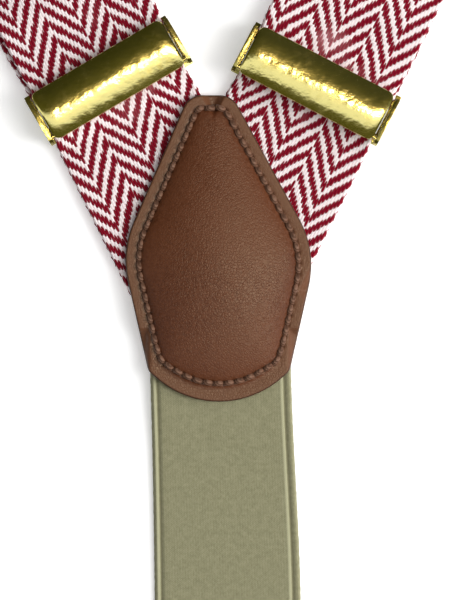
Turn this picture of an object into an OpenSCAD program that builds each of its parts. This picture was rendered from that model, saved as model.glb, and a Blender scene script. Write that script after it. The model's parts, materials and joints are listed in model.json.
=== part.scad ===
// Y-back suspenders lying flat: a leather yoke, two woven straps with lever
// adjusters, one elastic back strap, and a button-end leather tab on each of
// three rectangular rings.
// +Y runs from the yoke to the front ends, +X to the wearer's right strap, +Z up.
// The origin is where the two straps cross, on the underside of the yoke.

/* [Straps] */
// Width of the woven straps
strap_w = 35; // [25:1:38]
// Thickness of straps, elastic and tab leather
strap_t = 1.2; // [0.9:0.1:1.3]
// Angle of each strap from the Y axis
strap_angle = 26.5; // [22:0.5:32]
// From the crossing to each front ring, along the strap
front_length = 500; // [420:10:620]
// Width of the elastic back strap
elastic_w = 33.5; // [25:0.5:36]
// From the crossing to the back ring
back_length = 175; // [120:5:260]

// How far the right strap is sewn inwards from its mirrored place
right_strap_set = 2.4; // [0:0.1:3]

/* [Yoke] */
// Half-width of the yoke's top edge
yoke_top_half = 5; // [4:0.1:8]
// Height of the yoke's top edge above the crossing
yoke_top_y = 48; // [44:1:56]
// Sideways set of the top edge, towards the left strap
yoke_top_set = 2; // [0:0.1:2]
// Half-width of the yoke at its shoulders
yoke_shoulder_half = 22.7; // [21:0.1:28]
// Height of the shoulders above the crossing
yoke_shoulder_y = 11.8; // [8:0.2:18]
// Half-width of the yoke at its lower corners
yoke_foot_half = 16.4; // [14:0.1:19]
// Depth of the lower corners below the crossing
yoke_foot_y = 16; // [14:0.2:20]
// Depth at which the foot's two edges would meet in a point
yoke_point_y = 30; // [27:0.5:36]
// Thickness of the yoke's leather
yoke_t = 1.5; // [1.2:0.1:2]
// Height of the padded dome above the yoke's rim
dome_h = 2; // [1:0.1:3]

/* [Adjusters] */
// From the crossing to the middle of an adjuster, along the strap
adjuster_at = 56.4; // [55:0.2:120]
// How much further out than this the left one stands, and further in the right one
adjuster_stagger = 1.05; // [0:0.05:1.1]
// Anticlockwise turn of the left adjuster on its strap
left_adjuster_turn = 4; // [0:0.5:4]
// Clockwise turn of the right adjuster on its strap
right_adjuster_turn = 1; // [0:0.5:4]
// Width of the adjuster over its ears
adjuster_w = 38; // [38:0.1:42]
// Length of the ears along the strap
ear_l = 10.6; // [10:0.1:12]
// Width of the lever
lever_w = 34.8; // [28:0.1:35]
// Length of the lever along the strap
lever_l = 12.3; // [12:0.1:12.6]

/* [Rings and tabs] */
// Inner width of the rings
ring_inner_w = 36; // [36:0.5:40]
// Inner height of the rings
ring_inner_h = 9; // [8:0.5:12]
// Diameter of the ring wire
ring_wire = 2.6; // [2.2:0.1:2.6]
// Width of each tab where it wraps its ring
tab_w = 30; // [28:1:34]
// Length of each tab from its ring bar
tab_l = 62; // [56:1:75]
// Width of each tab leg
leg_w = 13.5; // [12:0.5:14]
// Outward lean of each tab leg
leg_splay = 7; // [4:0.5:12]
// Diameter of the round end of each buttonhole
buttonhole_d = 6; // [5:0.5:7]
// Length of each buttonhole's slit
slit_l = 8; // [6:0.5:10]

/* [Hidden] */
$fn = 64;
SIDES = ["left", "right"];

web_color = [0.55, 0.03, 0.14];
elastic_color = [0.56, 0.55, 0.42];
leather_color = [0.39, 0.24, 0.16];
lining_color = [0.55, 0.40, 0.29];
thread_color = [0.42, 0.27, 0.19];
brass_color = [0.80, 0.66, 0.28];

// Yoke outline, anticlockwise from its lowest corner, with a radius for each corner.
yoke_corners = [
    [0, -yoke_point_y], [yoke_foot_half, -yoke_foot_y], [yoke_shoulder_half, yoke_shoulder_y],
    [yoke_top_half - yoke_top_set, yoke_top_y], [-yoke_top_half - yoke_top_set, yoke_top_y],
    [-yoke_shoulder_half, yoke_shoulder_y], [-yoke_foot_half, -yoke_foot_y]
];
yoke_radii = [22, 3, 22, 5, 5, 22, 3];
stitch_inset = 2.8;         // from the yoke's edge to its stitch line
dome_inset = 4.5;           // from the yoke's edge to the foot of the dome
dome_run = 7;               // width of the dome's slope
dome_cap_t = 1.5;           // leather left over the padding
web_z = yoke_t;             // underside of the outer web
rim_z = web_z + strap_t;    // underside of the yoke's front leather
mitre_gap = 0.3;            // between the two straps where they meet on the Y axis
strap_foot_y = -6;          // lower end of the straps under the yoke
part_gap = 0.3;             // between pieces that move apart
web_cut = 0.15;             // half the gap between two runs of one web

// Stitches stand this proud of the leather.
stitch_h = 0.3;
stitch_w = 0.7;
stitch_pitch = 2.5;
stitch_l = 1.8;

// Adjuster heights and lengths, about its own middle.
ear_t = 0.9;
plate_t = 1;
plate_z = strap_t + 0.1;            // underside of the base plate
bar_l = 2.6;                        // length of each bar along the strap
rail_w = 1.4;                       // width of each side rail between the bars
bar_edge = 6.4;                     // outer edge of each bar
bend_gap = plate_t + 0.1;           // inside the fold around the far bar
bend_v = bar_edge - bar_l;          // middle of that fold
pin_v = -4.9;
pin_z = 5.9;
pin_r = 0.6;
pin_play = 0.05;
knuckle_r = 1.2;
lever_r = 12;                       // radius of the lever's underside
lever_t = 0.9;
ear_top = pin_z + 1.5;
tooth_w = 1.2;
tooth_count = 12;
tooth_reach = 1.7;                  // from the pin's axis to the tips of the teeth
lever_axis_z = pin_z + 1 - sqrt(pow(lever_r, 2) - pow(pin_v, 2));
sewn_end_l = 20;                    // folded end beyond the adjuster's middle
run_end = 30;                       // beyond this the outer web lies flat again
run_start = -10.5;                  // before this it lies flat too
over_far_bar = plate_z + plate_t + strap_t + 0.3;
over_near_bar = plate_z + plate_t + 0.4;
over_tack = 2 * strap_t + 0.7;

// Ring and loops.
wire_r = ring_wire / 2;
loop_r = 1.6;                           // inside radius of every loop around a ring
bar_z = loop_r + strap_t;               // height of the ring bars
ring_half_w = ring_inner_w / 2 + wire_r;
ring_span = ring_inner_h + ring_wire;   // from bar axis to bar axis
ring_bend = 2.6;                        // corner radius of the wire's centre line
loop_top_z = bar_z + loop_r;
loop_run = 14;                          // length over which the doubled web closes up
tack_w = 4;

// Tab lengths from the ring bar.
tab_slope_l = 12;
flap_l = 14;
leg_root = 10;
leg_l = (tab_l - leg_root - leg_w / 2) / cos(leg_splay);
hole_v = leg_l - 4;                     // buttonhole centre along its leg
slit_w = 1.2;
tab_stitch_inset = 1.8;

// ---- Geometry helpers ----

function unit(v) = v / norm(v);
function left_of(v) = [-v[1], v[0]];

// Arc of radius r that rounds corner b between its neighbours a and c.
function corner_arc(a, b, c, r, steps = 10) =
    let (
        u1 = unit(a - b),
        u2 = unit(c - b),
        half = acos(u1 * u2) / 2,
        centre = b + unit(u1 + u2) * r / sin(half),
        start = b + u1 * r / tan(half) - centre,
        begin = atan2(start[1], start[0])
    )
    [for (i = [0:steps]) centre + r * [cos(begin + (180 - 2 * half) * i / steps),
                                       sin(begin + (180 - 2 * half) * i / steps)]];

// Anticlockwise convex outline with every corner rounded.
function rounded(corners, radii) =
    let (n = len(corners))
    [for (i = [0:n - 1]) each corner_arc(corners[(i + n - 1) % n], corners[i],
                                        corners[(i + 1) % n], radii[i])];

// The same corners moved inwards by d.
function inset(corners, d) =
    let (n = len(corners))
    [for (i = [0:n - 1])
        let (
            n1 = left_of(unit(corners[i] - corners[(i + n - 1) % n])),
            n2 = left_of(unit(corners[(i + 1) % n] - corners[i]))
        )
        corners[i] + d * (n1 + n2) / (1 + n1 * n2)];

function yoke_outline(d = 0) =
    rounded(inset(yoke_corners, d), [for (r = yoke_radii) max(r - d, 0.8)]);

function closed(path) = concat(path, [path[0]]);

// Distance from the start of the path to each of its points.
function lengths(path) =
    [for (i = 0, s = 0; i < len(path);
          s = s + (i < len(path) - 1 ? norm(path[i + 1] - path[i]) : 0), i = i + 1) s];

// Short raised stitches at an even pitch along a path.
module stitches(path, z) {
    sums = lengths(path);
    total = sums[len(sums) - 1];
    count = round(total / stitch_pitch);
    for (k = [0:count - 1]) {
        s = (k + 0.5) * total / count;
        i = max([for (j = [0:len(sums) - 2]) if (sums[j] <= s) j]);
        way = unit(path[i + 1] - path[i]);
        at = path[i] + way * (s - sums[i]);
        translate([at[0], at[1], z])
            rotate(atan2(way[1], way[0]))
                translate([-stitch_l / 2, -stitch_w / 2, 0])
                    cube([stitch_l, stitch_w, stitch_h]);
    }
}

// A flat band that follows [distance, underside height] points.
module ribbon(path, width, thick = strap_t) {
    n = len(path);
    upper = [for (i = [0:n - 1]) path[n - 1 - i] + [0, thick]];
    rotate([90, 0, 90])
        linear_extrude(width, center = true)
            polygon(concat(path, upper));
}

// Half a turn of band around an axis across the strap; way is 1 to bulge along +Y, -1 along -Y.
module half_loop(v, z, inner, width, way, thick = strap_t) {
    translate([0, v, z])
        rotate([0, 90, 90 - 90 * way])
            rotate_extrude(angle = 180)
                translate([inner, -width / 2])
                    square([thick, width]);
}

// Places a piece of one side's strap: +Y along the strap, from the crossing.
module on_strap(side) {
    mirror([side == "left" ? 1 : 0, 0, 0])
        rotate(-strap_angle)
            translate([side == "right" ? -right_strap_set : 0, 0, 0])
                children();
}

function adjuster_v(side) = adjuster_at + (side == "left" ? 1 : -1) * adjuster_stagger;

module at_adjuster(side) {
    on_strap(side)
        translate([0, adjuster_v(side), 0])
            rotate(-(side == "left" ? left_adjuster_turn : right_adjuster_turn))
                children();
}

// Places a piece about a ring's upper bar, with +Y away from the strap.
module at_ring(place) {
    if (place == "back")
        translate([0, -back_length, 0]) rotate(180) children();
    else
        on_strap(place) translate([0, front_length, 0]) children();
}

module at_tab(place) {
    at_ring(place) translate([0, ring_span, 0]) children();
}

// ---- Yoke ----

module dome(height, foot) {
    hull() {
        translate([0, 0, rim_z]) linear_extrude(0.01) polygon(yoke_outline(foot));
        translate([0, 0, rim_z + height]) linear_extrude(0.01) polygon(yoke_outline(foot + dome_run));
    }
}

module yoke_front_leather() {
    color(leather_color)
        difference() {
            union() {
                translate([0, 0, rim_z]) linear_extrude(yoke_t) polygon(yoke_outline());
                translate([0, 0, yoke_t]) dome(dome_h, dome_inset);
            }
            dome(dome_h + yoke_t - dome_cap_t, dome_inset);
        }
}

module yoke_padding() {
    color("ivory") dome(dome_h + yoke_t - dome_cap_t, dome_inset);
}

module yoke_back_leather() {
    color(lining_color) linear_extrude(yoke_t) polygon(yoke_outline());
}

module yoke_stitching() {
    color(thread_color) stitches(closed(yoke_outline(stitch_inset)), rim_z + yoke_t);
}

// ---- Woven straps ----

// Flat stretch under and just above the yoke, mitred where the two straps meet.
module strap_yoke_run(side) {
    first = -strap_w;
    last = adjuster_v(side) + run_start - web_cut;
    color(web_color)
        intersection() {
            on_strap(side) ribbon([[first, web_z], [last, web_z]], strap_w);
            translate([side == "left" ? -front_length - mitre_gap / 2 : mitre_gap / 2, strap_foot_y, 0])
                cube([front_length, front_length, 2 * rim_z]);
        }
}

// Stretch that rises over the adjuster's bars and under its lever.
module strap_adjuster_run(side) {
    rise = [
        [run_start, web_z], [-bar_edge - 0.2, over_near_bar], [-2, over_near_bar], [2, over_far_bar],
        [8.5, over_far_bar], [13, over_tack], [sewn_end_l + 2, over_tack], [run_end, web_z]
    ];
    color(web_color) on_strap(side) translate([0, adjuster_v(side), 0]) ribbon(rise, strap_w);
}

module strap_front_run(side) {
    first = adjuster_v(side) + run_end + 2 * web_cut;
    last = front_length - loop_run - web_cut;
    color(web_color) on_strap(side) ribbon([[first, web_z], [last, web_z]], strap_w);
}

module strap_return_run(side) {
    first = adjuster_v(side) + run_end + 2 * web_cut;
    last = front_length - loop_run - web_cut;
    color(web_color) on_strap(side) ribbon([[first, 0], [last, 0]], strap_w);
}

// Web folded around a ring's upper bar, with its two legs closing up.
module end_loop(width) {
    ribbon([[-loop_run, web_z], [-4, loop_top_z], [0, loop_top_z]], width);
    half_loop(0, bar_z, loop_r, width, 1);
    ribbon([[-loop_run, 0], [0, 0]], width);
}

module strap_end_loop(side) {
    color(web_color) at_ring(side) end_loop(strap_w);
}

// End of the web, folded around the adjuster's far bar and sewn down on itself.
module strap_sewn_end(side) {
    over = [[bend_v, strap_t + bend_gap], [8, strap_t + bend_gap], [12.5, strap_t], [sewn_end_l, strap_t]];
    color(web_color) {
        // the lower leg is cut square to the strap, whatever the adjuster's turn
        intersection() {
            at_adjuster(side) ribbon([[bend_v, 0], [run_end + strap_w / 4, 0]], strap_w);
            on_strap(side)
                translate([-strap_w, 0, 0])
                    cube([2 * strap_w, adjuster_v(side) + run_end, 2 * strap_t]);
        }
        at_adjuster(side) {
            half_loop(bend_v, strap_t + bend_gap / 2, bend_gap / 2, strap_w, -1);
            ribbon(over, strap_w);
        }
    }
}

// Row of short satin stitches across a band.
module tack_row(width, v, z) {
    count = floor(width / 1.4);
    for (k = [0:count - 1])
        translate([(k - (count - 1) / 2) * 1.4 - stitch_w / 2, v, z])
            cube([stitch_w, tack_w, stitch_h]);
}

module strap_bar_tack(side) {
    color("darkred") at_adjuster(side) tack_row(strap_w - 3, 14, 2 * strap_t);
}

// ---- Adjusters ----

module adjuster_base(side) {
    inner = adjuster_w - 2 * ear_t;
    color(brass_color)
        at_adjuster(side) {
            for (v = [-bar_edge, bend_v])
                translate([-adjuster_w / 2, v, plate_z]) cube([adjuster_w, bar_l, plate_t]);
            for (s = [-1, 1])
                difference() {
                    translate([s * (inner + ear_t) / 2, 0, plate_z])
                        union() {
                            translate([(s * (ear_t - rail_w) - rail_w) / 2, -bar_edge, 0])
                                cube([rail_w, 2 * bar_edge, plate_t]);
                            translate([-ear_t / 2, -ear_l / 2, 0])
                                cube([ear_t, ear_l, ear_top - plate_z]);
                            translate([0, pin_v, pin_z - plate_z])
                                rotate([0, 90, 0]) cylinder(h = ear_t, r = ear_top - pin_z, center = true);
                        }
                    translate([0, pin_v, pin_z])
                        rotate([0, 90, 0]) cylinder(h = 2 * adjuster_w, r = pin_r, center = true);
                }
        }
}

module adjuster_pin(side) {
    color(brass_color)
        at_adjuster(side)
            translate([0, pin_v, pin_z])
                rotate([0, 90, 0]) cylinder(h = adjuster_w, r = pin_r, center = true);
}

// Bowed plate on a knuckle around the pin, with a row of teeth under the knuckle.
module adjuster_lever(side) {
    color(brass_color)
        at_adjuster(side)
            difference() {
                union() {
                    intersection() {
                        translate([0, 0, lever_axis_z])
                            rotate([0, 90, 0])
                                difference() {
                                    cylinder(h = lever_w, r = lever_r + lever_t, center = true, $fn = 128);
                                    cylinder(h = lever_w + 2, r = lever_r, center = true, $fn = 128);
                                }
                        translate([-lever_w / 2, -lever_l / 2, 0])
                            cube([lever_w, lever_l, 2 * lever_r]);
                    }
                    translate([0, pin_v, pin_z])
                        rotate([0, 90, 0]) cylinder(h = lever_w, r = knuckle_r, center = true);
                    for (k = [0:tooth_count - 1])
                        translate([(k - (tooth_count - 1) / 2) * 2 * tooth_w - tooth_w / 2,
                                   pin_v - 0.4, pin_z - tooth_reach])
                            cube([tooth_w, 0.8, tooth_reach]);
                }
                translate([0, pin_v, pin_z])
                    rotate([0, 90, 0])
                        cylinder(h = lever_w + 2, r = pin_r + pin_play, center = true);
            }
}

// ---- Elastic back strap ----

module back_elastic() {
    down = [
        [strap_foot_y - 0.5, web_z], [-24, web_z], [-40, 0],
        [-back_length + 45, 0], [-back_length + 34, web_z], [-back_length + loop_run + web_cut, web_z]
    ];
    upright = [for (i = [len(down) - 1:-1:0]) down[i]];
    color(elastic_color) ribbon(upright, elastic_w);
}

module back_elastic_end_loop() {
    color(elastic_color)
        at_ring("back") {
            end_loop(elastic_w);
            ribbon([[-loop_run - 14, 0], [-loop_run, 0]], elastic_w);
        }
}

module back_elastic_bar_tack() {
    color("olive") at_ring("back") tack_row(elastic_w - 3, -loop_run - 8, rim_z);
}

// ---- Rings ----

module ring(place) {
    straight_w = 2 * (ring_half_w - ring_bend);
    straight_h = ring_span - 2 * ring_bend;
    color(brass_color)
        at_ring(place)
            translate([0, 0, bar_z]) {
                for (v = [0, ring_span])
                    translate([0, v, 0])
                        rotate([0, 90, 0]) cylinder(h = straight_w, r = wire_r, center = true);
                for (s = [-1, 1])
                    translate([s * ring_half_w, ring_span / 2, 0])
                        rotate([90, 0, 0]) cylinder(h = straight_h, r = wire_r, center = true);
                for (corner = [[1, 1, 0], [-1, 1, 90], [-1, -1, 180], [1, -1, 270]])
                    translate([corner[0] * (ring_half_w - ring_bend),
                               ring_span / 2 + corner[1] * straight_h / 2, 0])
                        rotate(corner[2])
                            rotate_extrude(angle = 90)
                                translate([ring_bend, 0]) circle(wire_r);
            }
}

// ---- Button-end tabs ----

// Places a piece on one leg, with +Y down the leg.
module on_leg(s) {
    translate([s * (tab_w - leg_w) / 2, leg_root])
        rotate(-s * leg_splay)
            children();
}

module tab_outline(start) {
    difference() {
        union() {
            translate([-tab_w / 2, start]) square([tab_w, leg_root + 6 - start]);
            for (s = [-1, 1])
                on_leg(s) {
                    translate([-leg_w / 2, 0]) square([leg_w, leg_l]);
                    translate([0, leg_l]) circle(leg_w / 2);
                }
        }
        translate([-tab_w, start - tab_l]) square([2 * tab_w, tab_l]);
    }
}

module buttonholes(height) {
    for (s = [-1, 1])
        on_leg(s)
            translate([0, 0, -1]) {
                translate([0, hole_v, 0]) cylinder(h = height + 2, d = buttonhole_d);
                translate([-slit_w / 2, hole_v - buttonhole_d / 2 - slit_l + 1, 0])
                    cube([slit_w, slit_l, height + 2]);
            }
}

module tab_leather(place) {
    color(leather_color)
        at_tab(place)
            difference() {
                union() {
                    half_loop(0, bar_z, loop_r, tab_w, -1);
                    ribbon([[0, 0], [flap_l, 0]], tab_w);
                    ribbon([[0, loop_top_z], [4, loop_top_z], [tab_slope_l, strap_t]], tab_w);
                    translate([0, 0, strap_t]) linear_extrude(strap_t) tab_outline(tab_slope_l);
                }
                buttonholes(2 * strap_t);
            }
}

module tab_lining(place) {
    color(lining_color)
        at_tab(place)
            difference() {
                linear_extrude(strap_t) tab_outline(flap_l + part_gap);
                buttonholes(strap_t);
            }
}

// One line of stitches around each leg, inside its edge.
module tab_stitching(place) {
    half = leg_w / 2 - tab_stitch_inset;
    leg_path = concat(
        [[-half, 6]],
        [for (a = [180:-15:0]) [half * cos(a), leg_l + half * sin(a)]],
        [[half, 6]]
    );
    color(thread_color)
        at_tab(place)
            for (s = [-1, 1])
                on_leg(s) stitches(leg_path, 2 * strap_t);
}

// ---- Nodes ----

yoke_front_leather();
yoke_padding();
yoke_back_leather();
yoke_stitching();
back_elastic();
back_elastic_end_loop();
back_elastic_bar_tack();
for (side = SIDES) {
    strap_yoke_run(side);
    adjuster_base(side);
    adjuster_pin(side);
    adjuster_lever(side);
    strap_adjuster_run(side);
    strap_sewn_end(side);
    strap_bar_tack(side);
    strap_front_run(side);
    strap_return_run(side);
    strap_end_loop(side);
}
for (place = ["left", "right", "back"]) {
    ring(place);
    tab_leather(place);
    tab_lining(place);
    tab_stitching(place);
}
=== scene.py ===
"""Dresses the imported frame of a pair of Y-back suspenders in web, brass, leather and elastic."""

import json
import logging
import math
from dataclasses import dataclass, field
from enum import Enum
from typing import Callable

import bmesh
import bpy
import numpy as np
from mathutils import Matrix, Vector

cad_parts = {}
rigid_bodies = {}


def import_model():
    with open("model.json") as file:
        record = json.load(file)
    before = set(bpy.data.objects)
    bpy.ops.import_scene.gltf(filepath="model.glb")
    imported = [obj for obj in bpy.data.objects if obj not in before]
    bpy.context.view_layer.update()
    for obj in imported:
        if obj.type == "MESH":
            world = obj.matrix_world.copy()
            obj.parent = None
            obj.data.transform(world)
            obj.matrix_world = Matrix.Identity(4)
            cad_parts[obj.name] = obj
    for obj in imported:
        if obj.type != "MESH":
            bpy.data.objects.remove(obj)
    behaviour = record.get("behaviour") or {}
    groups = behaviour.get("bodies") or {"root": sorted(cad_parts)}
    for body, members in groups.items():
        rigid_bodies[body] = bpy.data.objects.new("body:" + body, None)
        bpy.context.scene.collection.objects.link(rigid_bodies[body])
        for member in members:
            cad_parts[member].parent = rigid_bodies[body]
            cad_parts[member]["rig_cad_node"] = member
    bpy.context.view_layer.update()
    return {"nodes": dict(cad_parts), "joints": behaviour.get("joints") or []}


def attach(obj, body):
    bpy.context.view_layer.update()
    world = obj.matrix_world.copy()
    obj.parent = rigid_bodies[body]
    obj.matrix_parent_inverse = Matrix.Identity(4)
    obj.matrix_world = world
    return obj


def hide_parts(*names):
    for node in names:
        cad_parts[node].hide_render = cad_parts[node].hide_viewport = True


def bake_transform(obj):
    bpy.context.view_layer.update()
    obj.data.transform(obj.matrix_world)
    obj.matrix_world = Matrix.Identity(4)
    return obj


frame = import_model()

MM = 0.001
UP = (0.0, 0.0, 1.0)
RING_PLACES = ("left", "right", "back")
STRAP_SIDES = ("left", "right")
TACK_STITCHES = 34
TACK_TURN = math.radians(78.0)
Socket = bpy.types.NodeSocket
Piece = bpy.types.Object

log = logging.getLogger("suspenders")


class Drape(Enum):
    """Where a woven pattern takes its place from."""

    SURFACE = "on the band's own length and width"
    PLACE = "on the object, so the weave stays still while a run is pulled longer or shorter"


class Side(Enum):
    """Which face of a hide shows."""

    GRAIN = "smooth"
    FLESH = "suede"


# ---------------------------------------------------------------- places and shapes


@dataclass(frozen=True)
class Place:
    """A flat local frame: across, along and up."""

    origin: tuple
    across: tuple
    along: tuple

    def points(self, local: np.ndarray) -> np.ndarray:
        """Turns local points into object points.

        Args:
            local: Rows of (across, along, up), in metres.

        Returns:
            Rows of (x, y, z) in the object's frame.
        """
        return np.array(self.origin) + local @ np.array([self.across, self.along, UP])

    def shifted(self, along: float) -> "Place":
        """The same frame moved along its own length."""
        moved = np.array(self.origin) + along * np.array(self.along)
        return Place(tuple(moved), self.across, self.along)


def joint(name: str) -> dict:
    """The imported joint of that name."""
    return next(j for j in frame["joints"] if j["name"] == name)


def place_from_hinge(name: str) -> Place:
    """The flat frame whose across axis is a hinge's axis and whose origin is under its pin.

    Args:
        name: The hinge.

    Returns:
        The frame, at the height of the table.
    """
    hinge = joint(name)
    across = Vector(hinge["axis"]).normalized()
    along = Vector(UP).cross(across).normalized()
    x, y, _ = hinge["pos_m"]
    return Place((x, y, 0.0), tuple(across), tuple(along))


def strap_place(side: str) -> Place:
    """The frame along one strap, whose middle line runs through its ring's bar."""
    along = Vector(joint(f"{side}_adjuster_slide")["axis"]).normalized()
    across = along.cross(Vector(UP)).normalized()
    aside = Vector(joint(f"{side}_ring_swivel")["pos_m"]).dot(across)
    return Place(tuple(aside * across), tuple(across), tuple(along))


def smooth_step(x: np.ndarray) -> np.ndarray:
    """An ease from 0 to 1 as x goes from 0 to 1."""
    t = np.clip(x, 0.0, 1.0)
    return t * t * (3.0 - 2.0 * t)


def softened(points: list, passes: int = 3) -> np.ndarray:
    """Cuts the corners of an open path.

    Args:
        points: The path's points.
        passes: How often every corner is cut.

    Returns:
        The smoother path, with the same ends.
    """
    path = np.array(points, float)
    for _ in range(passes):
        near = path[:-1] * 0.75 + path[1:] * 0.25
        far = path[:-1] * 0.25 + path[1:] * 0.75
        middle = np.stack([near, far], axis=1).reshape(-1, path.shape[1])
        path = np.vstack([path[:1], middle[1:-1], path[-1:]])
    return path


def arc_lengths(path: np.ndarray) -> np.ndarray:
    """Distance from a path's start to each of its points."""
    return np.concatenate([[0.0], np.cumsum(np.linalg.norm(np.diff(path, axis=0), axis=1))])


def resampled(path: np.ndarray, step: float) -> np.ndarray:
    """The path again, with points at an even spacing close to step."""
    sums = arc_lengths(path)
    count = max(2, int(round(sums[-1] / step)) + 1)
    at = np.linspace(0.0, sums[-1], count)
    return np.stack([np.interp(at, sums, path[:, k]) for k in range(path.shape[1])], axis=1)


def between(path: np.ndarray, count: int) -> np.ndarray:
    """Points halfway between count evenly spaced stitches along a path."""
    sums = arc_lengths(path)
    at = (np.arange(count) + 0.5) / count * sums[-1]
    return np.stack([np.interp(at, sums, path[:, k]) for k in range(path.shape[1])], axis=1)


def nearest(points: np.ndarray, others: np.ndarray) -> np.ndarray:
    """Distance from each point to the nearest of some others."""
    return np.linalg.norm(points[:, None, :] - others[None, :, :], axis=2).min(1)


def half_turn(v: float, z: float, radius: float, first: float, last: float) -> list:
    """Points around an axis at (v, z), from one angle in degrees to another."""
    turns = np.radians(np.linspace(first, last, 13))
    return [(v + radius * math.cos(a), z + radius * math.sin(a)) for a in turns]


def ring_loop(run: float, web_z: float, bar_z: float, radius: float, tail: float) -> np.ndarray:
    """The path of a strap's end down to a ring's bar and round it.

    Args:
        run: Distance before the bar at which the path starts.
        web_z: Height of the web's middle at the start.
        bar_z: Height of the bar's axis.
        radius: Radius of the web's middle round the bar.
        tail: Distance before the bar at which the folded end stops.

    Returns:
        Rows of (along, up), with the bar at 0 along.
    """
    top = bar_z + radius
    upper = [(-run, web_z), (-run + 2.0 * MM, web_z), (-4.0 * MM, top), (-0.3 * MM, top)]
    turn = half_turn(0.0, bar_z, radius, 90.0, -90.0)
    return np.vstack([softened(upper), turn, [(-tail, bar_z - radius)]])


def new_piece(name: str, vertices: np.ndarray, faces: list) -> Piece:
    """Makes a smooth-shaded piece at the origin.

    Args:
        name: The piece's name.
        vertices: Rows of (x, y, z), in the object's frame.
        faces: Lists of vertex numbers.

    Returns:
        The new object.
    """
    mesh = bpy.data.meshes.new(name)
    mesh.from_pydata(vertices.tolist(), [], faces)
    mesh.update()
    mesh.shade_smooth()
    piece = bpy.data.objects.new(name, mesh)
    bpy.context.scene.collection.objects.link(piece)
    return piece


def grid_faces(rows: int, columns: int, wrap: bool = True) -> list:
    """Quads between neighbouring rows of points.

    Args:
        rows: Number of rows.
        columns: Points in each row.
        wrap: Whether the last column joins the first.

    Returns:
        The quads, as lists of four vertex numbers.
    """
    row = np.arange(rows - 1)[:, None] * columns
    column = np.arange(columns if wrap else columns - 1)[None, :]
    after = (column + 1) % columns
    quads = np.stack([row + column, row + after, row + columns + after, row + columns + column], axis=-1)
    return quads.reshape(-1, 4).tolist()


def put_attribute(piece: Piece, name: str, values: np.ndarray) -> None:
    """Stores one number a vertex under that name."""
    layer = piece.data.attributes.new(name, "FLOAT", "POINT")
    layer.data.foreach_set("value", np.asarray(values, np.float32))


def put_map(piece: Piece, name: str, at: np.ndarray) -> None:
    """Stores a UV map given as one (across, along) pair a vertex."""
    loops = np.empty(len(piece.data.loops), np.int32)
    piece.data.loops.foreach_get("vertex_index", loops)
    layer = piece.data.uv_layers.new(name=name)
    layer.data.foreach_set("uv", at[loops].astype(np.float32).ravel())


def baked(piece: Piece) -> Piece:
    """Applies a piece's modifiers and removes them."""
    graph = bpy.context.evaluated_depsgraph_get()
    graph.update()
    mesh = bpy.data.meshes.new_from_object(piece.evaluated_get(graph))
    piece.modifiers.clear()
    piece.data = mesh
    return piece


def cleaned(piece: Piece, reach: float = 1e-6) -> Piece:
    """Welds doubles, drops faces without area and points the rest outwards."""
    shape = bmesh.new()
    shape.from_mesh(piece.data)
    bmesh.ops.remove_doubles(shape, verts=shape.verts, dist=reach)
    bmesh.ops.dissolve_degenerate(shape, edges=shape.edges, dist=reach)
    bmesh.ops.recalc_face_normals(shape, faces=shape.faces)
    shape.to_mesh(piece.data)
    shape.free()
    return piece


def cad_copy(node: str, name: str) -> Piece:
    """A welded copy of a CAD node's mesh, as a piece of its own."""
    piece = bpy.data.objects.new(name, frame["nodes"][node].data.copy())
    bpy.context.scene.collection.objects.link(piece)
    piece.data.materials.clear()
    return cleaned(piece, reach=2e-6)


# ---------------------------------------------------------------- shader graphs


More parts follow.
